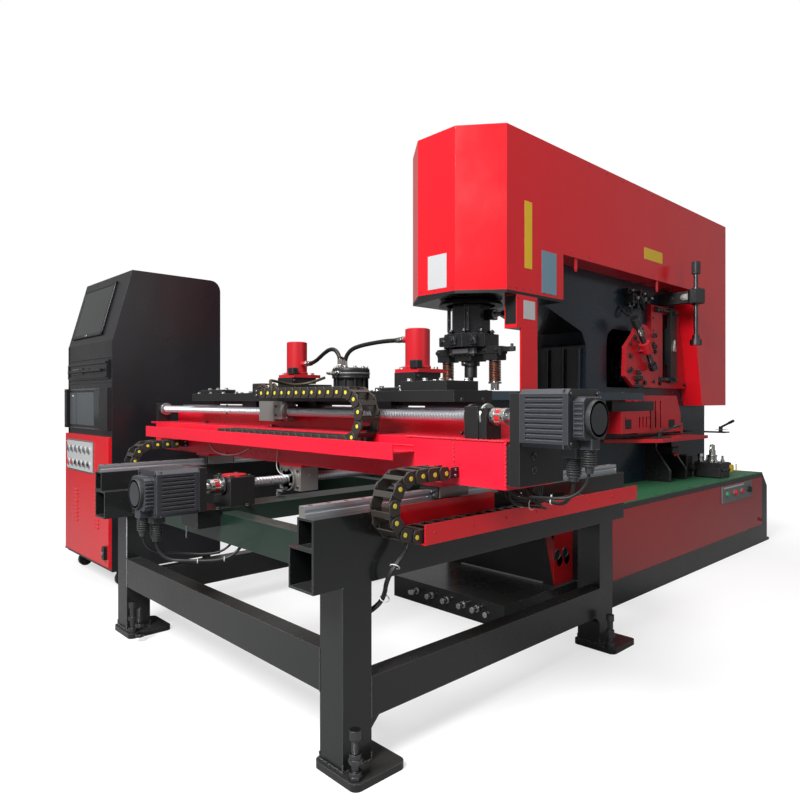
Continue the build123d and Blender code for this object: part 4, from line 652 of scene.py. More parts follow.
CLAMP_HOSES = [
    [(-116.5, -700, 1136), (-116.5, -700, 1168), (-101, -698, 1199), (-71, -695, 1219),
     (-24, -691, 1229), (30, -690, 1234), (88, -691, 1237), (146, -695, 1238), (204, -700, 1236),
     (258.5, -700, 1236)],
    [(-90.5, -746, 1136), (-90.5, -746, 1168), (-105, -745, 1199), (-134, -743, 1218),
     (-176, -737, 1220), (-222, -729, 1208), (-270, -720, 1190), (-320, -708, 1175),
     (-366, -700, 1168), (-407.5, -700, 1168)],
]


def clamp_hoses():
    hose("clamp_hose_pair", CLAMP_HOSES, 9, "carriage", "rubber", ["clamp_hoses"])


# Drag chains

CHAIN_HALF = 19.0
CHAIN_BEND = 81.0
CHAIN_WIDTH = 80.0


def chain_link(pitch):
    """One link: two pairs of lapped side plates, two bars across and the pins' round caps."""
    work = Work("chain plastic", "pin yellow")
    half, width = CHAIN_HALF, CHAIN_WIDTH / 2

    def stadium(start, end):
        return [(start, -half + 9), (start + 7, -half), (end - 9, -half), (end, -half + 12),
                (end, half - 12), (end - 9, half), (start + 7, half), (start, half - 9)]

    for side in (-1, 1):
        outer = sorted((side * width, side * (width - 4)))
        inner = sorted((side * (width - 4.4), side * (width - 8.4)))
        work.plate(stadium(-3, pitch / 2 + 15), "y", outer, None, 0.8)
        work.plate(stadium(-pitch / 2 - 14, 10), "y", inner, None, 0.8)
        work.rod((pitch / 2, side * width, 0), (0, side, 0), 1.2, 6.6, "pin yellow", 0.3, 14)
    for z in (-half, half - 3.4):
        work.box((-8, 9), (-width + 3, width - 3), (z, z + 3.4), None, 0.6)
    return work.pattern("chain_link")


def chain(start_straight, end_straight, centre, towards, side, pitch):
    """Matrices of a chain's links and how far along each lies: lower run, bend, upper run."""
    centre, towards, side = Vector(centre), Vector(towards), Vector(side)
    bend = pi * CHAIN_BEND
    total = start_straight + bend + end_straight

    def at(s):
        if s < start_straight:
            return centre - towards * (start_straight - s) - Z * CHAIN_BEND
        if s < start_straight + bend:
            angle = (s - start_straight) / CHAIN_BEND
            return centre + towards * (CHAIN_BEND * sin(angle)) - Z * (CHAIN_BEND * cos(angle))
        return centre - towards * (s - start_straight - bend) + Z * CHAIN_BEND

    places = []
    pin = total - pitch * 0.5
    while pin - pitch > 8:
        a, b = at(pin - pitch), at(pin)
        along = (b - a).normalized()
        up = side.cross(along)
        basis = Matrix((along, side, up)).transposed().to_4x4()
        places.append((Matrix.Translation((a + b) / 2) @ basis, pin - pitch / 2))
        pin -= pitch
    return places, start_straight + bend


def end_bracket(work, corner, along, side, height=30):
    """Steel end bracket of a chain, with its screws on each cheek."""
    where = Matrix((along, side, Z)).transposed().to_4x4()
    where.translation = Vector(corner)
    half = CHAIN_WIDTH / 2 - 5
    work.box((0, 34), (-half, half), (-height / 2, -height / 2 + 3), "plate grey", 0.5, where)
    for cheek in (-1, 1):
        y = sorted((cheek * half, cheek * (half - 3)))
        work.box((0, 34), y, (-height / 2, height / 2), "satin black", 0.5, where)
        for z in (-8, 8):
            spot = where @ Vector((20, cheek * half, z))
            work.socket_screw(spot, where.to_3x3() @ Vector((0, cheek, 0)), 4, 3, "zinc")


def drag_chains():
    """Chains beside the long beams and on the cross beam."""
    pitch = sizes().chain_pitch * 1000
    link = chain_link(pitch)
    bends = Work("chain plastic", "pin yellow")
    runs = Work("chain plastic", "pin yellow")
    for x in (820, -890):
        places, upper = chain(948, 140, (x, -1235, 713), (0, -1, 0), (1, 0, 0), pitch)
        for where, s in places:
            (runs if s > upper else bends).stamp(link, where)
        end_bracket(runs, (x, -1095, 794), Y, -X)
    bends.place("side_chain_bends", "side_chains", "chain_plastic", ["y_chain_bends"])
    runs.place("side_chain_runs", "beam", "chain_plastic", ["y_chain_runs"],
               blend=("beam", "side_chains", (0, -1.095, 0.79), (0, -1.235, 0.79)))

    bend = Work("chain plastic", "pin yellow")
    run = Work("chain plastic", "pin yellow")
    places, upper = chain(848, 517, (422, -1102, 945), (1, 0, 0), (0, 1, 0), pitch)
    for where, s in places:
        (run if s > upper else bend).stamp(link, where)
    bend.place("beam_chain_bend", "beam_chain", "chain_plastic", ["x_chain_bend"])
    run.place("beam_chain_run", "carriage", "chain_plastic", ["x_chain_run"],
              blend=("carriage", "beam_chain", (-0.095, -1.1, 1.026), (0.422, -1.1, 1.026)))
    clip = Work("satin black")
    end_bracket(clip, (-95, -1102, 1026), -X, -Y)
    clip.place("beam_chain_bracket", "carriage", "black_paint")


# Ball screws

def thread(work, start, way, length, radius):
    """A threaded length of a ball screw."""
    pitch = sizes().thread_pitch * 1000
    depth = sizes().thread_depth * 1000
    profile = []
    for turn in range(int(length / pitch)):
        for share, drop in ((0, 0), (0.46, 0), (0.6, depth), (0.86, depth)):
            profile.append(((turn + share) * pitch, radius - drop))
    work.lathe(profile, start, way, "steel", 20, 2 * pitch)


def coupling(work, start, way, length, radius):
    """Clamping coupling: two silver hubs, the cushion between their claws and the clamp screws."""
    way = Vector(way)
    third = length / 3
    cross = way.orthogonal().normalized()
    for offset in (0, 2 * third):
        work.rod(Vector(start) + way * offset, way, third, radius, "zinc", 1.5, 36)
    work.rod(Vector(start) + way * third, way, third, radius - 2.5, "button red", 0.4, 36)
    for spot, _ in around(Vector(start) + way * (third - 1), radius - 5, 6, way, cross):
        work.rod(spot, way, third + 2, 5, "zinc", 0.6, 10)
    for offset in (third * 0.5, third * 2.5):
        out = Matrix.Rotation(0.7, 3, way) @ cross
        work.socket_screw(Vector(start) + way * offset + out * (radius - 3), out, 4, 3.5)


def screws():
    """Both ball screws with their couplings."""
    long_screw = Work("steel")
    thread(long_screw, (0, -1240, 700), Y, 818, 17)
    long_screw.rod((0, -1464.7, 700), Y, 228, 14.5, "chrome")
    long_screw.rod((0, -424, 700), Y, 49, 15, "chrome")
    coupling(long_screw, (0, -1397.3, 700), Y, 53, 25)
    long_screw.place("long_ball_screw", "long_screw", "steel", ["y_screw"])
    cross = Work("steel")
    thread(cross, (856, -1000, 953), -X, 2105, 17)
    cross.rod((1076.6, -1000, 953), -X, 222, 14.5, "chrome")
    cross.rod((-1240, -1000, 953), -X, 41, 15, "chrome")
    coupling(cross, (986.3, -1000, 953), -X, 53, 25)
    cross.place("cross_ball_screw", "cross_screw", "steel", ["x_screw"])


# Motors

def motor_details(name, origin, way, up, body):
    """Tie bolts, flange rims, fan ribs, cap and ribbed connectors on a servo motor."""
    way, up = Vector(way), Vector(up)
    side = up.cross(way)
    where = Matrix((side, way, up)).transposed().to_4x4()
    where.translation = Vector(origin)
    work = Work("motor black")

    def spot(x, y, z):
        return where @ Vector((x, y, z))

    for x, z in product((-62, 62), (-62, 62)):
        work.socket_screw(spot(x, 16, z), way, 7, 9)
        work.rod(spot(x, 25, z), way, 102, 4, "dark steel", 0.4, 12)
        work.socket_screw(spot(x, 144, z), way, 6, 4)
    work.box((-74, 74), (127, 131), (-74, 74), "motor black", 1.0, where)
    for middle in range(-36, 37, 12):
        rib = (middle - 2.5, middle + 2.5)
        for side_x, side_z in (((-55, -52), rib), ((52, 55), rib), (rib, (52, 55))):
            work.box(side_x, (147, 171), side_z, "motor black", 0.6, where)
    work.lathe([(184, 0), (184, 36), (186, 39), (186, 45.5), (184, 47.6), (174, 47.6),
                (174, 0)], spot(0, 0, 0), way, "cap black", 40)
    for y, top, radius, rows in ((114, -75, 17, 7), (159, -52, 14, 7)):
        work.box((-radius - 6, radius + 6), (y - radius - 4, y + radius + 4),
                 (top - 26, top + 2), "motor black", 2, where)
        work.lathe([(0, 0), (0, radius + 3)] + [
            (3 + row * 6 + part * 6, radius + (3.5 if part in (0.25, 0.6) else 0))
            for row in range(rows) for part in (0, 0.25, 0.6, 0.85)] + [
            (6 * rows + 4, radius - 2), (6 * rows + 20, radius - 5), (6 * rows + 20, 0)],
            spot(0, y, top - 24), -up, "cap black", 20)
    work.place(name, body, "motor_black")


def motors():
    motor_details("cross_motor_details", (1077, -1000, 953), (1, 0, 0), (0, 0, 1), "beam")
    motor_details("long_motor_details", (0, -1465, 700), (0, -1, 0), (0, 0, 1), "machine")


# Covers

def covers():
    """Screws, hanging tabs, seams and plain plates on the sheet covers."""
    work = Work("cover red")
    for y in range(-90, 350, 55):
        work.socket_screw((300, y, 1514), X, 3.5, 2)
    for x in (-100, 0, 100):
        work.socket_screw((x, -250, 1514), -Y, 3.5, 2)
    for y, z in product(range(420, 1860, 180), (1745, 2225)):
        work.socket_screw((300, y, z), X, 3.5, 2)
    for z in range(1100, 2200, 180):
        work.socket_screw((300, 2440, z), X, 3.5, 2)
    for y in (480, 1393):
        work.plate([(y - 12, 1724), (y + 12, 1724), (y + 12, 1668), (y + 6, 1656), (y - 6, 1656),
                    (y - 12, 1668)], "x", (290, 295), "cover red", 0.8)
        work.rod((295, y, 1672), X, 3, 6, "cover red", 0.5, 16)
    work.box((-52, 67), (-250.9, -250), (1518, 1676), "label plate", 0.2)
    for y, z, coat in (((30, 88), (1612, 1925), "strip yellow"),
                       ((167, 292), (1512, 1716), "plate blue"),
                       ((1214, 1452), (1832, 1900), "strip yellow"),
                       ((22, 112), (1376, 1462), "label plate")):
        work.box((300, 300.9), y, z, coat, 0.2)
    for y in (-22, 122):
        work.socket_screw((300, y, 1470), X, 4, 2.5)
    work.box((236, 296), (-31.6, -31), (1350, 1480), "satin black", 0.2)
    work.lathe([(0, 120), (0, 158), (16, 150), (22, 120)], (0, 0, 1462), Z, "satin black", 48)
    work.place("cover_details", "machine", "red_paint")


# Punch unit

def punch_unit():
    """Springs, casting details, the crosshead's front block and its striker."""
    springs = Work("spring copper")
    for x in (-150, 150):
        springs.ring((x, 0, 1188), -Z, 26, 3.5, None, 20, sizes().spring_turns, 99, 8)
    springs.place("punch_springs", "ram", "spring_copper", ["stripper_springs"],
                  blend=("ram", "hold_pins", (0, 0, 1.19), (0, 0, 1.086)))
    work = Work("hammered black")
    for spot, _ in around((0, 0, 1329), 108, 8, start=pi / 8):
        work.bolt(spot, Z, 11, 7, "dark steel")
        work.rod(spot + Z * 8, Z, 5, 5, "zinc", 0.6, 14)
    for x, y in ((-96, -96), (0, -131), (96, -96)):
        work.box((x - 22, x + 22), (y - 10, y + 14), (1262, 1308), "hammered black", 4)
        work.bolt((x, y - 10, 1285), -Y, 10, 7, "dark steel")
    for x in (-60, 60):
        work.rod((x, -93, 1330), Z, 120, 9, "hammered black", 1, 16)
    work.bolt((118, 40, 1415), X, 15, 16)
    work.rod((134, 40, 1415), X, 30, 9, "zinc", 1, 20)
    work.rod((164, 40, 1415), X, 26, 14, "dark steel", 1, 6)
    work.box((91, 119), (18, 62), (1390, 1440), "satin black", 2)
    work.place("cylinder_details", "machine", "cast_black")
    cross = Work("satin black")
    cross.box((-78, 78), (-72, -42), (1221, 1253), "plate grey", 3)
    cross.box((-48, 48), (-84, -72), (1226, 1248), "steel", 2)
    for x in (-62, -31, 0, 31, 62):
        cross.bolt((x, -57, 1221), -Z, 9, 8, "dark steel")
    for x in (-118, 118, -186, 186):
        cross.bolt((x, -42, 1237), -Y, 8, 6, "dark steel")
        cross.bolt((x * (0.9 if abs(x) < 150 else 1.04), -20, 1220), -Z, 8, 8, "dark steel")
    cross.plate([(205, -16), (246, -16), (268, -6), (268, 6), (246, 16), (205, 16)], "z",
                (1228, 1250), "satin black", 1.5)
    cross.rod((250, 0, 1250), Z, 14, 7, "dark steel", 1, 6)
    for x in (-150, 150):
        cross.ring((x, 0, 1254.5), Z, 25, 1.8, "dark steel", 32)
    for z in (1176, 1150, 1130):
        cross.ring((0, 0, z), Z, 44 if z > 1170 else 31, 1.2, "dark steel", 40)
    cross.box((-20, 20), (-50, -40), (1170, 1188), "dark steel", 1.5)
    cross.socket_screw((0, -50, 1179), -Y, 6, 5, "zinc")
    cross.place("crosshead_details", "ram", "black_paint")
    pins = Work("chrome")
    for x in (-150, 150):
        for spot, _ in around((x, 0, 1050), 18.2, 18):
            pins.rod(spot, Z, 27, 1.6, "chrome", 0, 8)
        pins.rod((x, 0, 1048.2), Z, 3, 21.5, "chrome", 0.8, 32)
        pins.ring((x, 0, 1082), Z, 31, 1.2, "dark steel", 32)
    pins.place("pin_details", "hold_pins", "bright_steel")
    die = Work("dark steel")
    for x in (-200, -75, 75, 200):
        die.socket_screw((x, -150, 1040), Z, 9, 5)
    for y, x in product((200, 450, 700, 950), (-300, 300)):
        die.socket_screw((x, y, 1040), Z, 8, 5)
    die.ring((0, 0, 1046), Z, 55, 1.0, "steel", 48)
    for x in (-96, 96):
        die.box((x - 16, x + 16), (-44, 44), (1040, 1044), "satin black", 1)
        die.socket_screw((x, 0, 1044), Z, 7, 5)
    die.place("die_details", "machine", "blue_steel")


# Frame side, with the valves above the shears

def frame_side():
    """Valves and pipes on the frame's side, and what shows inside its window."""
    work = Work("satin black")
    for y, z, w, h, d in ((1250, 1612, 46, 60, 58), (1312, 1640, 34, 44, 70),
                          (1372, 1616, 56, 52, 44), (1440, 1630, 40, 64, 52),
                          (1216, 1655, 30, 34, 40)):
        work.box((170, 170 + d), (y - w / 2, y + w / 2), (z - h / 2, z + h / 2), "satin black", 3)
        work.rod((170 + d, y, z), X, 14, w * 0.3, "dark steel", 1.5, 20)
        work.bolt((184 + d, y, z), X, w * 0.22, 8, "zinc", False)
    for y, z in ((1236, 1570), (1282, 1584), (1340, 1576), (1405, 1580)):
        work.rod((196, y, z), Z, 36, 9, "gloss black", 1, 16)
        work.bolt((196, y, z), -Z, 12, 12, "dark steel", False)
    for y in range(1030, 1400, 60):
        work.box((20, 60), (y, y + 34), (1085 + (y % 80), 1200 + (y % 110)), "satin black", 4)
        work.rod((60, y + 16, 1130 + (y % 90)), X, 30, 12, "gloss black", 1, 16)
    for y in (1470, 1880):
        work.bolt((170, y, 1660), X, 12, 8, "dark steel")
    work.box((-172, 172), (352, 364), (1500, 1720), "frame navy", 2)
    work.place("frame_side_valves", "machine", "black_paint")
    hose("frame_side_hoses", [
        [(204, 1252, 1570), (204, 1250, 1540), (212, 1234, 1512), (214, 1200, 1500),
         (202, 1172, 1516), (182, 1160, 1548), (168, 1160, 1570)],
        [(236, 1312, 1618), (244, 1318, 1590), (240, 1334, 1560), (226, 1362, 1548),
         (206, 1384, 1562), (190, 1394, 1590), (176, 1398, 1612)],
    ], 7, "machine", "rubber")


# Shears

def shears():
    """Studs, nuts, knurls and small plates of the shear station."""
    work = Work("satin black")
    for z in (1576, 1132):
        for low, high in ((1575, 1736), (1830, 1866)):
            work.rod((214, low, z), Y, high - low, 8, "dark steel", 0.5, 16)
            for y in range(low + 8, high - 6, 9):
                work.ring((214, y, z), Y, 8, 1.1, "dark steel", 16)
        for y in (1590, 1640, 1700):
            work.rod((214, y, z), Y, 14, 15, "satin black", 1, 6)
        work.box((200, 228), (1556, 1578), (z - 16, z + 16), "satin black", 2)
    for z, y in product((1200, 1280, 1440, 1520), (1540, 1866)):
        work.socket_screw((200, y, z), X, 6, 5)
    for y, z in ((1205, 1370), (1150, 1260), (1160, 1180), (1230, 1105), (1330, 1105), (1400, 1230),
                 (1470, 1300), (1300, 1400)):
        work.bolt((245, y, z), X, 12, 10, "satin black")
    for y, z in ((1215, 1130), (1262, 1130), (1240, 1165), (1448, 1330), (1452, 1400)):
        work.box((245, 262), (y - 17, y + 17), (z - 14, z + 14), "satin black", 3)
        work.rod((262, y, z), X, 8, 8, "dark steel", 1, 16)
    work.box((245, 256), (1195, 1300), (1076, 1092), "satin black", 1.5)
    for y, z in ((930, 850), (930, 900), (1210, 850), (1210, 900)):
        work.socket_screw((330, y, z), X, 5, 3)
    for y, z in ((1262, 820), (1262, 960), (1600, 820), (1822, 820)):
        work.socket_screw((245, y, z), X, 5, 3)
    work.box((330, 331), (930, 996), (840, 888), "rubber", 0.2)
    work.box((245, 246), (1664, 1746), (823, 871), "rubber", 0.2)
    for y in (1085, 1127, 1169):
        work.box((321, 322), (y + 6, y + 20), (844, 900), "rubber", 0)
    for y in (1395, 1465, 1535):
        work.box((236, 237), (y + 6, y + 20), (828, 992), "rubber", 0)
    for y in (870, 1000, 1130, 1260):
        work.socket_screw((272, y, 992), Z, 7, 5)
    for x, y in ((250, 1100), (250, 1420), (360, 1600), (250, 1780)):
        work.socket_screw((x, y, 772), Z, 8, 3)
    work.box((180, 236), (1860, 1900), (780, 850), "shear red", 3)
    work.bolt((208, 1880, 850), Z, 9, 8, "dark steel")
    work.box((404, 466), (1990, 2062), (804, 806), "zinc", 0.5)
    work.place("shear_details", "machine", "black_paint")
    head = Work("dark steel")
    tilt = Vector((0, sin(radians(40.5)), -cos(radians(40.5))))
    start = Vector((278, 1156, 1456))
    for spot, _ in around(start - tilt * 29, 25.6, 14, tilt):
        head.rod(spot, tilt, 56, 1.6, "satin black", 0, 6)
    for step in range(8):
        head.ring(start + tilt * (44 + step * 7), tilt, 15, 1.0, "zinc", 20)
    for step in range(7):
        head.ring(start + tilt * (253 + step * 8), tilt, 15, 1.0, "dark steel", 20)
    head.place("angle_screw_knurl", "angle_spindle", "black_paint")
    knob = Work("satin black")
    for spot, _ in around((401, 1702, 1794), 24.6, 18):
        knob.rod(spot, Z, 72, 1.7, "satin black", 0, 6)
    for step in range(34):
        knob.ring((401, 1702, 1440 + step * 10), Z, 13, 1.0, "dark steel", 20)
    knob.place("spindle_knurl", "hold_spindle", "black_paint")
    arm = Work("satin black")
    arm.bolt((330, 1673, 1650), -Y, 11, 8)
    arm.bolt((260, 1673, 1650), -Y, 11, 8, "dark steel")
    arm.lathe([(0, 15), (0, 26), (10, 24), (12, 15)], (401, 1702, 1694), Z, "dark steel", 32)
    arm.lathe([(0, 15), (0, 24), (10, 24), (12, 15)], (401, 1702, 1606), -Z, "dark steel", 6)
    arm.box((330, 362), (1668, 1672), (1630, 1670), "zinc", 0.5)
    arm.place("spindle_arm_details", "machine", "black_paint")


# Deck and base

def base():
    """Valve fittings on the deck, grommets, panel screws and the plinth's fittings."""
    work = Work("satin black")
    for y in (1940, 1985, 2030):
        work.bolt((474, y, 545), X, 13, 12, "satin black", False)
    work.lathe([(0, 30), (0, 34), (8, 34), (14, 26), (30, 26), (36, 30), (44, 30), (46, 20),
                (74, 20), (78, 16), (110, 16), (114, 0)], (392, 1985, 594), Z, "zinc", 28)
    work.lathe([(0, 15), (0, 19), (10, 19), (12, 15), (26, 15), (34, 20), (50, 20), (56, 0)],
               (330, 1950, 594), Z, "chrome", 6)
    work.ring((392, 1985, 676), X, 26, 7, "zinc", 24)
    for x, y in ((345, 2025), (430, 1940), (440, 2030)):
        work.bolt((x, y, 593), Z, 12, 14)
        work.rod((x, y, 607), Z, 26, 7, "chrome", 1, 16)
    work.box((320, 470), (1905, 1915), (500, 560), "dark steel", 2)
    work.box((230, 300), (1810, 1900), (493, 640), "satin black", 4)
    work.rod((300, 1850, 560), X, 30, 24, "rubber", 2, 28)
    work.box((196, 300), (1600, 1690), (660, 700), "satin black", 4)
    for y in (1700, 1736):
        work.rod((265, y, 640), Z, 60, 12, "button red", 1.5, 20)
    work.lathe([(0, 27), (6, 28.5), (40, 28.5), (46, 24), (47, 0)], (335, 2440, 493), Z,
               "strip yellow", 32)
    work.rod((372, 2466, 493), Z, 52, 4, "strip yellow", 1, 12)
    work.rod((335, 2440, 540), Z, 14, 12, "dark steel", 1, 20)
    for y in range(470, 2500, 220):
        work.rod((510, y, 493), Z, 2.5, 6, "dark steel", 0.5, 12)
    for x in (-180, -80, 20, 120, 200):
        work.bolt((x, -190, 60), -Y, 17, 10, "zinc", False)
        work.rod((x, -200, 60), -Y, 22, 11, "chrome", 1.5, 20)
        work.bolt((x, -222, 60), -Y, 14, 10, "zinc", False)
    for x in (-225, 250):
        work.bolt((x, -190, 44), -Y, 14, 12, "chrome", False)
    for x in (-262, 262):
        work.ring((x, 240.5, 200), Y, 28, 3, "dark steel", 32)
    for x, y in ((323, 262), (323, 330)):
        work.rod((x, y, 250), X, 1.5, 26, "rubber", 0.5, 32)
        work.ring((x + 1.5, y, 250), X, 24, 2.5, "dark steel", 32)
    work.box((-262, 262), (226, 236), (104, 112), "steel", 1)
    work.rod((528, 2489, 169), X, 4, 13, "dark steel", 1, 24)
    work.rod((532, 2489, 169), X, 1, 5, "rubber", 0.2, 12)
    work.box((530, 530.8), (1812, 2150), (440, 450), "label plate", 0.2)
    work.place("base_details", "machine", "black_paint")


# Feed table

def weld(work, start, end, coat="steel", size=3.2):
    """A weld bead: overlapping drops along a line."""
    start, end = Vector(start), Vector(end)
    count = max(2, int((end - start).length / (size * 1.5)))
    for step in range(count + 1):
        spot = start.lerp(end, step / count)
        wobble = Vector((sin(step * 2.3), cos(step * 3.1), sin(step * 1.7))) * size * 0.18
        verts = bmesh.ops.create_icosphere(work.mesh, subdivisions=1, radius=size,
                                           matrix=Matrix.Translation(spot + wobble))["verts"]
        work.dress(verts, coat, 0)


def feed_table():
    """Welds, rail screws, foot bolts and tray clips of the feed table."""
    work = Work("frame black")
    for (x0, x1), y in product(((650, 750), (-822, -722)), (-1400, -90)):
        for corner in ((x0, y), (x1, y), (x0, y + 100), (x1, y + 100)):
            weld(work, (*corner, 22), (*corner, 40), "frame black", 3.5)
        weld(work, (x0, y, 505), (x1, y, 505), "frame black", 3)
        weld(work, (x0, y, 21), (x1, y, 21), "frame black", 4)
        weld(work, (x1, y, 21), (x1, y + 100, 21), "frame black", 4)
    weld(work, (-722, -1400, 330), (-722, -1400, 500), "steel", 3)
    weld(work, (-722, -1400, 205), (-722, -1400, 322), "plate grey", 3)
    weld(work, (650, -1400, 205), (650, -1400, 322), "frame black", 3)
    weld(work, (750, -1300, 134), (750, -1300, 245), "frame black", 3)
    weld(work, (-75, -1440, 520), (-75, -1440, 620), "zinc", 3)
    for x in (-774, 702):
        for y in range(-1470, 100, 60):
            work.rod((x, y, 726), Z, 0.5, 7, "dark steel", 0.1, 16)
        for y in (-1495, 105):
            way = Y if y > 0 else -Y
            work.box((x - 13.5, x + 13.5), sorted((y, y + way.y * 0.8)), (697, 725), "zinc", 0.3)
    for x, y in product((-699 + 90, 699 + 92), (-1391, -81)):
        work.lathe([(0, 11), (0, 19), (12, 19), (14, 11)], (x, y, 20), Z, "dark steel", 6)
        work.lathe([(0, 11), (0, 19), (12, 19), (14, 11)], (x, y, 62), Z, "dark steel", 6)
        for step in range(12):
            work.ring((x, y, 80 + 5 * step), Z, 10, 1.0, "dark steel", 18)
    for (x, way), y in product(((872, X), (-942, -X)), range(-1180, -60, 160)):
        work.socket_screw((x, y, 640), way, 4, 2, "cover red")
    for y in (-1180, -900, -600, -300, -60):
        work.rod((800, y, 608), -Z, 5, 7, "zinc", 0.6, 6)
    for x, y in product((-46, 46), (-1330, -1263)):
        work.socket_screw((x, y, 731), Z, 8, 6)
    work.lathe([(0, 20), (0, 34), (5, 36), (9, 34), (9, 20)], (0, -1344, 700), -Y, "dark steel", 36)
    for spot, _ in around((0, -1353, 700), 28, 6, Y):
        work.socket_screw(spot, -Y, 4, 3)
    for x, z in product((-55, 55), (645, 755)):
        work.socket_screw((x, -1440, z), Y, 9, 8)
    for y, x in product((-1395, -1280), (-66, 66)):
        work.bolt((x, y, 630), Z, 8, 6, "dark steel")
    work.place("table_details", "machine", "black_paint")


# Cross beam

def cross_beam():
    """Welds, bearings' screws, rail screws and the plates at the beam's end."""
    work = Work("beam red")
    weld(work, (835, -1060, 770), (835, -1060, 875), "beam red", 4)
    weld(work, (1021, -1060, 762), (1021, -1060, 880), "beam red", 4)
    weld(work, (640, -1061, 888), (1015, -1061, 888), "beam red", 3.5)
    weld(work, (-1220, -1061, 757), (-640, -1061, 757), "beam red", 3)
    weld(work, (-1130, -1062, 860), (670, -1062, 860), "beam red", 2.5)
    for x in range(-1195, 880, 60):
        work.rod((x, -900, 975), Z, 0.5, 7, "dark steel", 0.1, 16)
    for x in range(-1080, 660, 145):
        work.bolt((x, -1140, 838), -Z, 6, 4, "dark steel")
    for y, z in product((-1056, -944), (905, 1001)):
        work.socket_screw((1077, y, z), X, 8, 8)
        work.socket_screw((858, y + (8 if y < -1000 else -8), z), -X, 6, 5)
    work.lathe([(0, 19), (0, 36), (4, 38), (8, 36), (8, 19)], (907, -1000, 953), X, "zinc", 36)
    work.lathe([(0, 19), (0, 34), (4, 36), (8, 34), (8, 19)], (858, -1000, 953), -X,
               "dark steel", 36)
    for spot, _ in around((915, -1000, 953), 29, 6, X, Y):
        work.socket_screw(spot, X, 3.5, 3)
    for z in (812, 850):
        work.rod((1077, -1010, z), X, 1.2, 9, "rubber", 0.2, 24)
        work.ring((1078, -1010, z), X, 9, 1.2, "dark steel", 24)
    work.lathe([(0, 16), (0, 30), (5, 32), (10, 30), (10, 16)], (-1240, -1000, 953), X, "zinc", 36)
    for x in (-900, -300, 250):
        work.bolt((x, -950, 888), Z, 8, 6, "dark steel")
    work.place("beam_details", "beam", "red_paint")
    guides = Work("nut grey")
    for x in (-774, 702):
        for dx, y in product((-28, 28), (-1000, -912)):
            guides.socket_screw((x + dx, y, 747), Z, 6, 4)
        for y in (-1020, -892):
            way = 1 if y > -1000 else -1
            guides.box((x - 38, x + 38), sorted((y, y + way * 8)), (727.5, 738), "dark steel", 2)
            for low, high in ((x - 38, x - 15), (x + 15, x + 38)):
                guides.box((low, high), sorted((y, y + way * 8)), (700, 730), "dark steel", 1.5)
            guides.rod((x + 18, y + way * 8, 722), Y * way, 7, 3.5, "zinc", 0.4, 6)
    for x, z in product((-52, 52), (672, 732)):
        guides.socket_screw((x, -1060, z), -Y, 6, 4)
    guides.rod((62, -1020, 716), X, 12, 6, "zinc", 0.6, 6)
    guides.lathe([(0, 18), (0, 40), (6, 43), (11, 43), (14, 40), (14, 18)], (0, -1074, 700), Y,
                 "plate grey", 44)
    guides.box((-108, -70), (-1052, -1030), (640, 648), "plate grey", 1)
    guides.box((-108, -102), (-1052, -1030), (590, 648), "plate grey", 1)
    guides.rod((-105, -1041, 596), -X, 22, 11, "zinc", 1, 20)
    guides.rod((-127, -1041, 596), -X, 14, 7, "dark steel", 1, 6)
    guides.place("guide_details", "beam", "steel")
    hose("beam_thin_cables", [
        [(-640, -1064, 800), (-600, -1068, 776), (-540, -1069, 764), (-470, -1069, 762),
         (-400, -1068, 768), (-340, -1066, 782), (-296, -1063, 800)],
        [(-80, -1064, 806), (-76, -1070, 770), (-66, -1078, 742), (-42, -1084, 724),
         (-16, -1084, 716), (4, -1080, 714), (18, -1076, 716)],
    ], 1.6, "beam", "tie white")


# Carriage and clamps

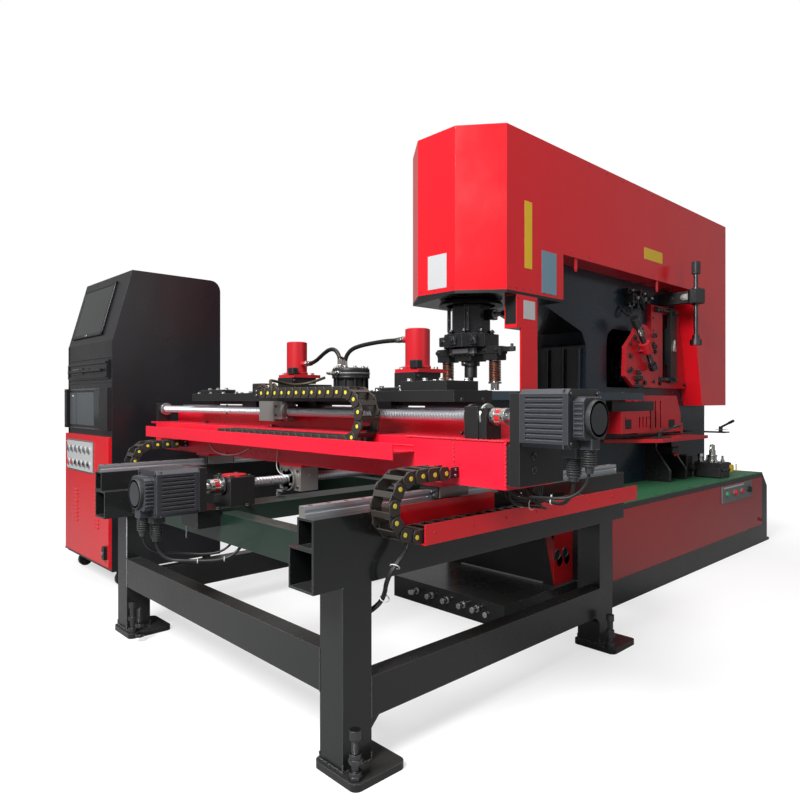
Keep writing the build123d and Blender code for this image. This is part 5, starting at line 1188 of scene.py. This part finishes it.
def carriage():
    """Bolts, rings and fittings of the carriage, its clamps and the manifold."""
    work = Work("satin black")
    for x, (dx, y) in product(range(-860, 560, 118), ((0, -1002), (40, -862))):
        work.bolt((x + dx, y, 1030), Z, 8, 6)
    for x, y in product((590, 660, 730), (-1000, -880)):
        work.bolt((x, y, 1060), Z, 9, 7)
    work.box((420, 552), (-1000, -872), (1030, 1042), "satin black", 2)
    for x in (440, 532):
        work.socket_screw((x, -985, 1042), Z, 8, 6, "zinc")
    work.box((-840, -640), (-1004, -930), (1030, 1048), "satin black", 2)
    for x in (-820, -740, -660):
        work.bolt((x, -967, 1048), Z, 9, 7)
    for x in (-477, 328):
        work.lathe([(0, 40), (0, 50), (6, 52), (12, 50), (12, 40)], (x, -700, 1118), Z,
                   "shear red", 40)
        work.lathe([(0, 20), (0, 44), (2.5, 41), (2.5, 0)], (x, -700, 1270), Z, "shear red", 40)
        for dx, y in product((-40, 40), (-745, -640)):
            work.bolt((x + dx, y, 1118), Z, 9, 8)
        for z in (1062, 1090):
            work.socket_screw((x + 55, -752, z), X, 6, 4)
            work.socket_screw((x - 55, -752, z), -X, 6, 4)
        work.box((x + 24, x + 64), (-768, -736), (1118, 1150), "satin black", 3)
    for spot, way in around((-74.5, -700, 1136), 66, 10, start=0.2):
        work.bolt(spot, Z, 7, 6)
        work.rod(spot + way * 4 - Z * 94, Z, 50, 5, "satin black", 0.8, 12)
    work.ring((-74.5, -700, 1112), Z, 79, 3.5, "plate grey", 56)
    work.ring((-74.5, -700, 1098), Z, 79, 2, "dark steel", 56)
    for spot, way in list(around((-74.5, -700, 1114), 80, 10, start=0.5))[3:8]:
        work.bolt(spot, way, 9, 10, "zinc", False)
        work.rod(spot + way * 10, way, 16, 6, "chrome", 1, 14)
    for spot, way in (((-116.5, -700, 1136), Z), ((-90.5, -746, 1136), Z),
                      ((258.5, -700, 1236), -X), ((-407.5, -700, 1168), X)):
        way = Vector(way)
        work.bolt(spot, way, 14, 13, "zinc", False)
        work.rod(Vector(spot) + way * 13, way, 24, 11.5, "chrome", 1, 24)
        work.rod(Vector(spot) + way * 37, way, 12, 10.4, "hose braid", 1, 24)
    for x in (-300, -200, 60, 150):
        work.bolt((x, -1000, 1030), Z, 11, 12)
    work.box((-360, -280), (-1010, -950), (1030, 1070), "satin black", 3)
    work.bolt((-280, -980, 1052), X, 14, 14, "zinc", False)
    work.rod((-266, -980, 1052), X, 30, 9, "chrome", 1, 16)
    work.box((-890, 790), (-916, -884), (980, 995), "satin black", 1)
    work.place("carriage_details", "carriage", "black_paint")
    nuts = Work("nut grey")
    for x, y, dx in product((-560, 440), (-1030, -866), (20, 60)):
        nuts.socket_screw((x + (dx if x < 0 else -dx), y, 915), -Z, 5, 3)
    for x, z in product((-520, -130, 400), (940, 975)):
        nuts.socket_screw((x, -1038, z), -Y, 6, 4)
    nuts.place("nut_details", "carriage", "steel")
    hose("carriage_cables", [
        [(-95, -1060, 1042), (-120, -1050, 1058), (-160, -1030, 1064), (-200, -1000, 1062),
         (-236, -970, 1056), (-268, -940, 1050), (-300, -915, 1040), (-310, -900, 1030)],
        [(-95, -1080, 1038), (-126, -1066, 1066), (-170, -1040, 1078), (-214, -1006, 1080),
         (-250, -960, 1078), (-270, -910, 1070), (-262, -860, 1064), (-240, -820, 1070),
         (-200, -790, 1082), (-160, -775, 1096)],
        [(-95, -1100, 1040), (-130, -1088, 1056), (-180, -1072, 1058), (-240, -1050, 1054),
         (-300, -1020, 1046), (-350, -1000, 1042), (-396, -980, 1036), (-420, -970, 1030)],
    ], 6, "carriage", "hose braid")


# Control cabinet

def cabinet():
    """Screen bezel, drawer front, bay door, louvres, plates, latch and edge trims."""
    work = Work("cabinet black")
    rise = Vector((0, 105, 382)).normalized()
    out = Vector((0, -rise.z, rise.y))
    slope = Matrix((X, rise, out)).transposed().to_4x4()
    slope.translation = Vector((0, -1203, 1318))
    for x, s in (((-2110, -2085), (40, 356)), ((-1640, -1615), (40, 356)),
                 ((-2110, -1615), (334, 356)), ((-2110, -1615), (40, 60))):
        work.box(x, s, (0, 11), "cabinet black", 3, slope)
    for x, s in product((-2098, -1627), (52, 344)):
        work.socket_screw(slope @ Vector((x, s, 11)), out, 4, 2)
    work.box((-1880, -1850), (44, 54), (11, 14), "zinc", 1, slope)
    for z in (1226, 1092):
        work.box((-2155, -1438), (-1206, -1203), (z, z + 6), "satin black", 1)
    for x in (-2149, -1445):
        work.box((x - 5, x + 5), (-1206, -1203), (92, 1318), "cabinet black", 1)
    for x, y, z, coat, bevel in (((-2100, -2000), -1213, (850, 1050), "panel grey", 2),
                                 ((-1990, -1700), -1212, (850, 1050), "panel grey", 2),
                                 ((-1680, -1568), -1216, (842, 1060), "screen glass", 4)):
        work.box(x, (y, -1209), z, coat, bevel)
    for z in (852, 1050):
        work.box((-2104, -1564), (-1214, -1209), (z - 6, z + 6), "dark steel", 1.5)
    work.box((-1584, -1576), (-1224, -1214), (880, 1030), "satin black", 2)
    work.box((-2060, -2030), (-1214, -1212), (1020, 1030), "label plate", 0.5)
    for x, z in product((-2150, -2112, -1556, -1443), (848, 1053)):
        work.socket_screw((x + (8 if x in (-2150, -1556) else -8), -1229, z), -Y, 3.5, 2)
    for y in range(-1120, -640, 60):
        work.box((-1438.4, -1437.8), (y, y + 40), (260, 264), "rubber", 0)
    work.place("cabinet_details", "machine", "black_paint")
    drawer = Work("cabinet black")
    low, high = 1122, 1206
    for x, z in (((-2115, -1478), (high - 10, high)), ((-2115, -1478), (low, low + 10)),
                 ((-2115, -2100), (low, high)), ((-1493, -1478), (low, high))):
        drawer.box(x, (-1221, -1215), z, "cabinet black", 2)
    drawer.box((-2040, -1860), (-1219, -1215), (1146, 1184), "screen glass", 2)
    drawer.box((-1990, -1900), (-1232, -1228), (1170, 1176), "zinc", 1.5)
    drawer.rod((-1760, -1215, 1166), -Y, 8, 10, "dark steel", 1, 24)
    drawer.rod((-1700, -1215, 1166), -Y, 5, 7, "zinc", 1, 24)
    drawer.place("drawer_details", "drawer", "black_paint")
    door = Work("cover red")
    for x, row in product((-1960, -1620), range(9)):
        z = 300 + row * 22
        door.plate([(-1222.5, z), (-1222.5, z + 14), (-1228, z + 4)], "x", (x - 34, x + 34),
                   "cover red", 0.5)
    door.box((-2104, -1663), (-1226.5, -1222.5), (592, 772), "plate grey", 1)
    for x, z in product((-2097, -1670), (604, 760)):
        door.socket_screw((x + (8 if x < -2000 else -8), -1230.5, z), -Y, 3, 2, "zinc")
    door.box((-2080, -1900), (-1231.4, -1230.5), (700, 745), "label plate", 0.2)
    for column in range(6):
        x = -2060 + 70 * column
        for row, coat in ((0, "button red" if column < 2 else "rubber"), (1, "plate grey")):
            door.rod((x, -1240.5, 642 + 80 * row), -Y, 2.5, 13, coat, 1, 24)
            door.ring((x, -1240, 642 + 80 * row), Y, 16.5, 1.2, "dark steel", 28)
    door.box((-1487, -1452), (-1243, -1240.5), (168, 218), "satin black", 1.5)
    door.rod((-1470, -1243, 193), -Y, 4, 9, "zinc", 1, 20)
    door.box((-2162, -1443), (-1224, -1222.5), (110, 116), "satin black", 0.5)
    door.place("door_details", "door", "red_paint")
    wheels = Work("satin black")
    for x, y in product((-2093, -1500), (-1140, -645)):
        for dx in (-13, 13):
            wheels.rod((x + dx, y, 37.5), X * (1 if dx > 0 else -1), 1.5, 12, "zinc", 0.4, 20)
        wheels.bolt((x, y, 82), Z, 10, 6)
    wheels.place("castor_details", "machine", "black_paint")


# Cables held at both ends

BEAM_CABLES = [
    [(1191, -1000, 803), (1191, -1000, 773), (1174.7, -995.1, 743.6), (1146.5, -986.6, 726.6),
     (1108.2, -975.1, 726.6), (1070, -963, 729), (1034, -953, 737), (1008, -946, 752.84)],
    [(1236, -1000, 838), (1236, -1000, 804), (1218.3, -1007, 771), (1188.6, -1018.8, 750),
     (1151.4, -1033.6, 748), (1110, -1031, 745), (1070, -1023, 741), (1036, -1015, 740),
     (1010, -1010, 753.48)],
]
LOOP_TOP = 757
BEAM_LOOP = [(845, -864, LOOP_TOP), (845, -864, 727), (847, -846, 700), (855, -806, 690),
             (877, -776, 686), (919, -772, 687), (941, -804, 691), (949, -846, 702),
             (951, -864, 729), (951, -864, LOOP_TOP)]
BEAM_LOOPS = [[(x + 12 * loop, y + 8 * loop, z if z == LOOP_TOP else z - 10 * loop)
               for x, y, z in BEAM_LOOP] for loop in range(3)]
TABLE_CABLES = [
    [(0, -1579, 550), (0, -1579, 522), (10.2, -1565.4, 492.6), (27.9, -1541.9, 475.6),
     (51.9, -1509.9, 473), (79, -1474, 471), (106, -1438, 470), (130, -1403, 474),
     (146, -1373, 490), (150, -1352, 513.75)],
    [(0, -1624, 585), (0, -1624, 553), (-3.8, -1605.4, 520), (-10.3, -1573, 501), (-10, -1534, 493),
     (0, -1496, 487), (22, -1462, 483), (48, -1432, 481), (70, -1400, 484), (84, -1372, 496),
     (88, -1354, 514.21)],
    [(800, -1205, 606.35), (800, -1217, 581), (799, -1244, 558), (793, -1268, 530),
     (780, -1273, 498), (764, -1262, 468), (748, -1262, 440), (738, -1280, 422),
     (736, -1298.34, 416)],
    [(789, -1205, 606.35), (789, -1210, 581), (788, -1237, 558), (782, -1261, 530),
     (769, -1266, 498), (753, -1255, 468), (737, -1255, 440), (727, -1273, 422),
     (725, -1298.71, 416)],
]


def cables():
    """The motors' cables, the loops behind the beam's right end and the tray's pair, with ties."""
    hose("motor_cable", BEAM_CABLES[:1], 5, "beam", "rubber", ["beam_cables"])
    hose("sensor_cables", BEAM_CABLES[1:] + BEAM_LOOPS, 4, "beam", "rubber", ["beam_cables"])
    hose("table_motor_cable", TABLE_CABLES[:1], 5, "machine", "rubber", ["table_cables"])
    hose("table_sensor_cable", TABLE_CABLES[1:2], 4, "machine", "rubber", ["table_cables"])
    hose("tray_cables", TABLE_CABLES[2:], 5, "machine", "rubber", ["table_cables"])
    thin = [[(x + 4 * step, y + 5 * step, z + (step % 3) * 4) for x, y, z in
             ((838, -880, 757), (836, -868, 730), (846, -838, 700), (866, -800, 684),
              (900, -778, 682), (930, -800, 690), (958, -846, 704), (984, -880, 730),
              (990, -884, 757))]
            for step in range(5)]
    hose("beam_end_cables", thin, 2.4, "beam", "rubber")
    ties = Work("tie white")
    for spot, way, radius in (((905, -774, 676), X, 17), ((872, -786, 681), (1, -1, 0), 17),
                              ((1108, -975, 728), X, 6.5)):
        ties.ring(spot, way, radius, 1.6, "tie white", 28)
        ties.box((spot[0] - 2, spot[0] + 2), (spot[1] - 2, spot[1] + 2),
                 (spot[2] + radius, spot[2] + radius + 12), "tie white", 0.5)
    ties.place("beam_cable_ties", "beam", "hose_rubber")
    ties = Work("tie white")
    for spot, way in (((792, -1252, 545), (0.2, -0.6, -0.8)),
                      ((756, -1258, 452), (-0.5, 0.1, -0.8))):
        ties.ring(spot, way, 13, 1.6, "tie white", 28)
    for spot in ((79, -1474, 471), (128, -1404, 474)):
        ties.ring(spot, (0.5, 0.8, 0), 7, 1.6, "tie white", 28)
    ties.place("table_cable_ties", "machine", "hose_rubber")


# The add-on's operators, panel and registration

class MACHINE_OT_stage(bpy.types.Operator):
    """Sets the camera, the floor, the world and the lamps"""
    bl_idname = "machine.stage"
    bl_label = "Stage"

    def execute(self, context):
        studio()
        return {"FINISHED"}


class MACHINE_OT_hoses(bpy.types.Operator):
    """Lays the clamps' hoses on their routes"""
    bl_idname = "machine.hoses"
    bl_label = "Clamp hoses"

    def execute(self, context):
        clamp_hoses()
        return {"FINISHED"}


class MACHINE_OT_paint(bpy.types.Operator):
    """Paints the machine's own parts"""
    bl_idname = "machine.paint"
    bl_label = "Paint"

    def execute(self, context):
        paint_nodes()
        return {"FINISHED"}


class MACHINE_OT_chains(bpy.types.Operator):
    """Makes the links of the drag chains"""
    bl_idname = "machine.chains"
    bl_label = "Drag chains"

    def execute(self, context):
        drag_chains()
        return {"FINISHED"}


class MACHINE_OT_screws(bpy.types.Operator):
    """Cuts the threads of the ball screws and makes their couplings"""
    bl_idname = "machine.screws"
    bl_label = "Ball screws"

    def execute(self, context):
        screws()
        return {"FINISHED"}


class MACHINE_OT_motors(bpy.types.Operator):
    """Adds the bolts, fan ribs, caps and connectors of the motors"""
    bl_idname = "machine.motors"
    bl_label = "Motors"

    def execute(self, context):
        motors()
        return {"FINISHED"}


class MACHINE_OT_covers(bpy.types.Operator):
    """Adds the covers' screws, tabs and plain plates"""
    bl_idname = "machine.covers"
    bl_label = "Covers"

    def execute(self, context):
        covers()
        return {"FINISHED"}


class MACHINE_OT_punch(bpy.types.Operator):
    """Winds the springs and adds the punch unit's bolts"""
    bl_idname = "machine.punch"
    bl_label = "Punch unit"

    def execute(self, context):
        punch_unit()
        return {"FINISHED"}


class MACHINE_OT_frame_side(bpy.types.Operator):
    """Adds the valves and pipes on the frame's side"""
    bl_idname = "machine.frame_side"
    bl_label = "Frame side"

    def execute(self, context):
        frame_side()
        return {"FINISHED"}


class MACHINE_OT_shears(bpy.types.Operator):
    """Adds the studs, nuts and knurls of the shears"""
    bl_idname = "machine.shears"
    bl_label = "Shears"

    def execute(self, context):
        shears()
        return {"FINISHED"}


class MACHINE_OT_base(bpy.types.Operator):
    """Adds the fittings on the deck and on the plinth"""
    bl_idname = "machine.base"
    bl_label = "Base"

    def execute(self, context):
        base()
        return {"FINISHED"}


class MACHINE_OT_table(bpy.types.Operator):
    """Adds the welds, screws and foot bolts of the feed table"""
    bl_idname = "machine.table"
    bl_label = "Feed table"

    def execute(self, context):
        feed_table()
        return {"FINISHED"}


class MACHINE_OT_beam(bpy.types.Operator):
    """Adds the welds, screws and thin cables of the cross beam"""
    bl_idname = "machine.beam"
    bl_label = "Cross beam"

    def execute(self, context):
        cross_beam()
        return {"FINISHED"}


class MACHINE_OT_carriage(bpy.types.Operator):
    """Adds the bolts, rings and fittings of the carriage"""
    bl_idname = "machine.carriage"
    bl_label = "Carriage"

    def execute(self, context):
        carriage()
        return {"FINISHED"}


class MACHINE_OT_cabinet(bpy.types.Operator):
    """Adds the bezel, drawer, bay, louvres and keys of the cabinet"""
    bl_idname = "machine.cabinet"
    bl_label = "Cabinet"

    def execute(self, context):
        cabinet()
        return {"FINISHED"}


class MACHINE_OT_cables(bpy.types.Operator):
    """Lays the cables that are held at both ends"""
    bl_idname = "machine.cables"
    bl_label = "Cables"

    def execute(self, context):
        cables()
        return {"FINISHED"}


OPERATORS = (
    MACHINE_OT_stage, MACHINE_OT_hoses, MACHINE_OT_paint, MACHINE_OT_chains, MACHINE_OT_screws,
    MACHINE_OT_motors, MACHINE_OT_covers, MACHINE_OT_punch, MACHINE_OT_frame_side,
    MACHINE_OT_shears, MACHINE_OT_base, MACHINE_OT_table, MACHINE_OT_beam, MACHINE_OT_carriage,
    MACHINE_OT_cabinet, MACHINE_OT_cables,
)


class MACHINE_PT_panel(bpy.types.Panel):
    """Lists the steps of the machine's finish"""
    bl_idname = "MACHINE_PT_panel"
    bl_label = "Punching and Shearing Machine"
    bl_space_type = "VIEW_3D"
    bl_region_type = "UI"
    bl_category = "Machine"

    def draw(self, context):
        for operator in OPERATORS:
            self.layout.operator(operator.bl_idname)
        for values in (sizes(), colours()):
            for label in values.__annotations__:
                self.layout.prop(values, label)


CLASSES = (MachineSizes, MachineColours, *OPERATORS, MACHINE_PT_panel)


def register():
    for kind in CLASSES:
        bpy.utils.register_class(kind)
    bpy.types.Scene.machine_sizes = PointerProperty(type=MachineSizes)
    bpy.types.Scene.machine_colours = PointerProperty(type=MachineColours)


def unregister():
    del bpy.types.Scene.machine_colours
    del bpy.types.Scene.machine_sizes
    for kind in reversed(CLASSES):
        bpy.utils.unregister_class(kind)


def main():
    """Registers the add-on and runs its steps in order."""
    register()
    for operator in OPERATORS:
        family, name = operator.bl_idname.split(".")
        getattr(getattr(bpy.ops, family), name)()


if __name__ == "__main__":
    main()
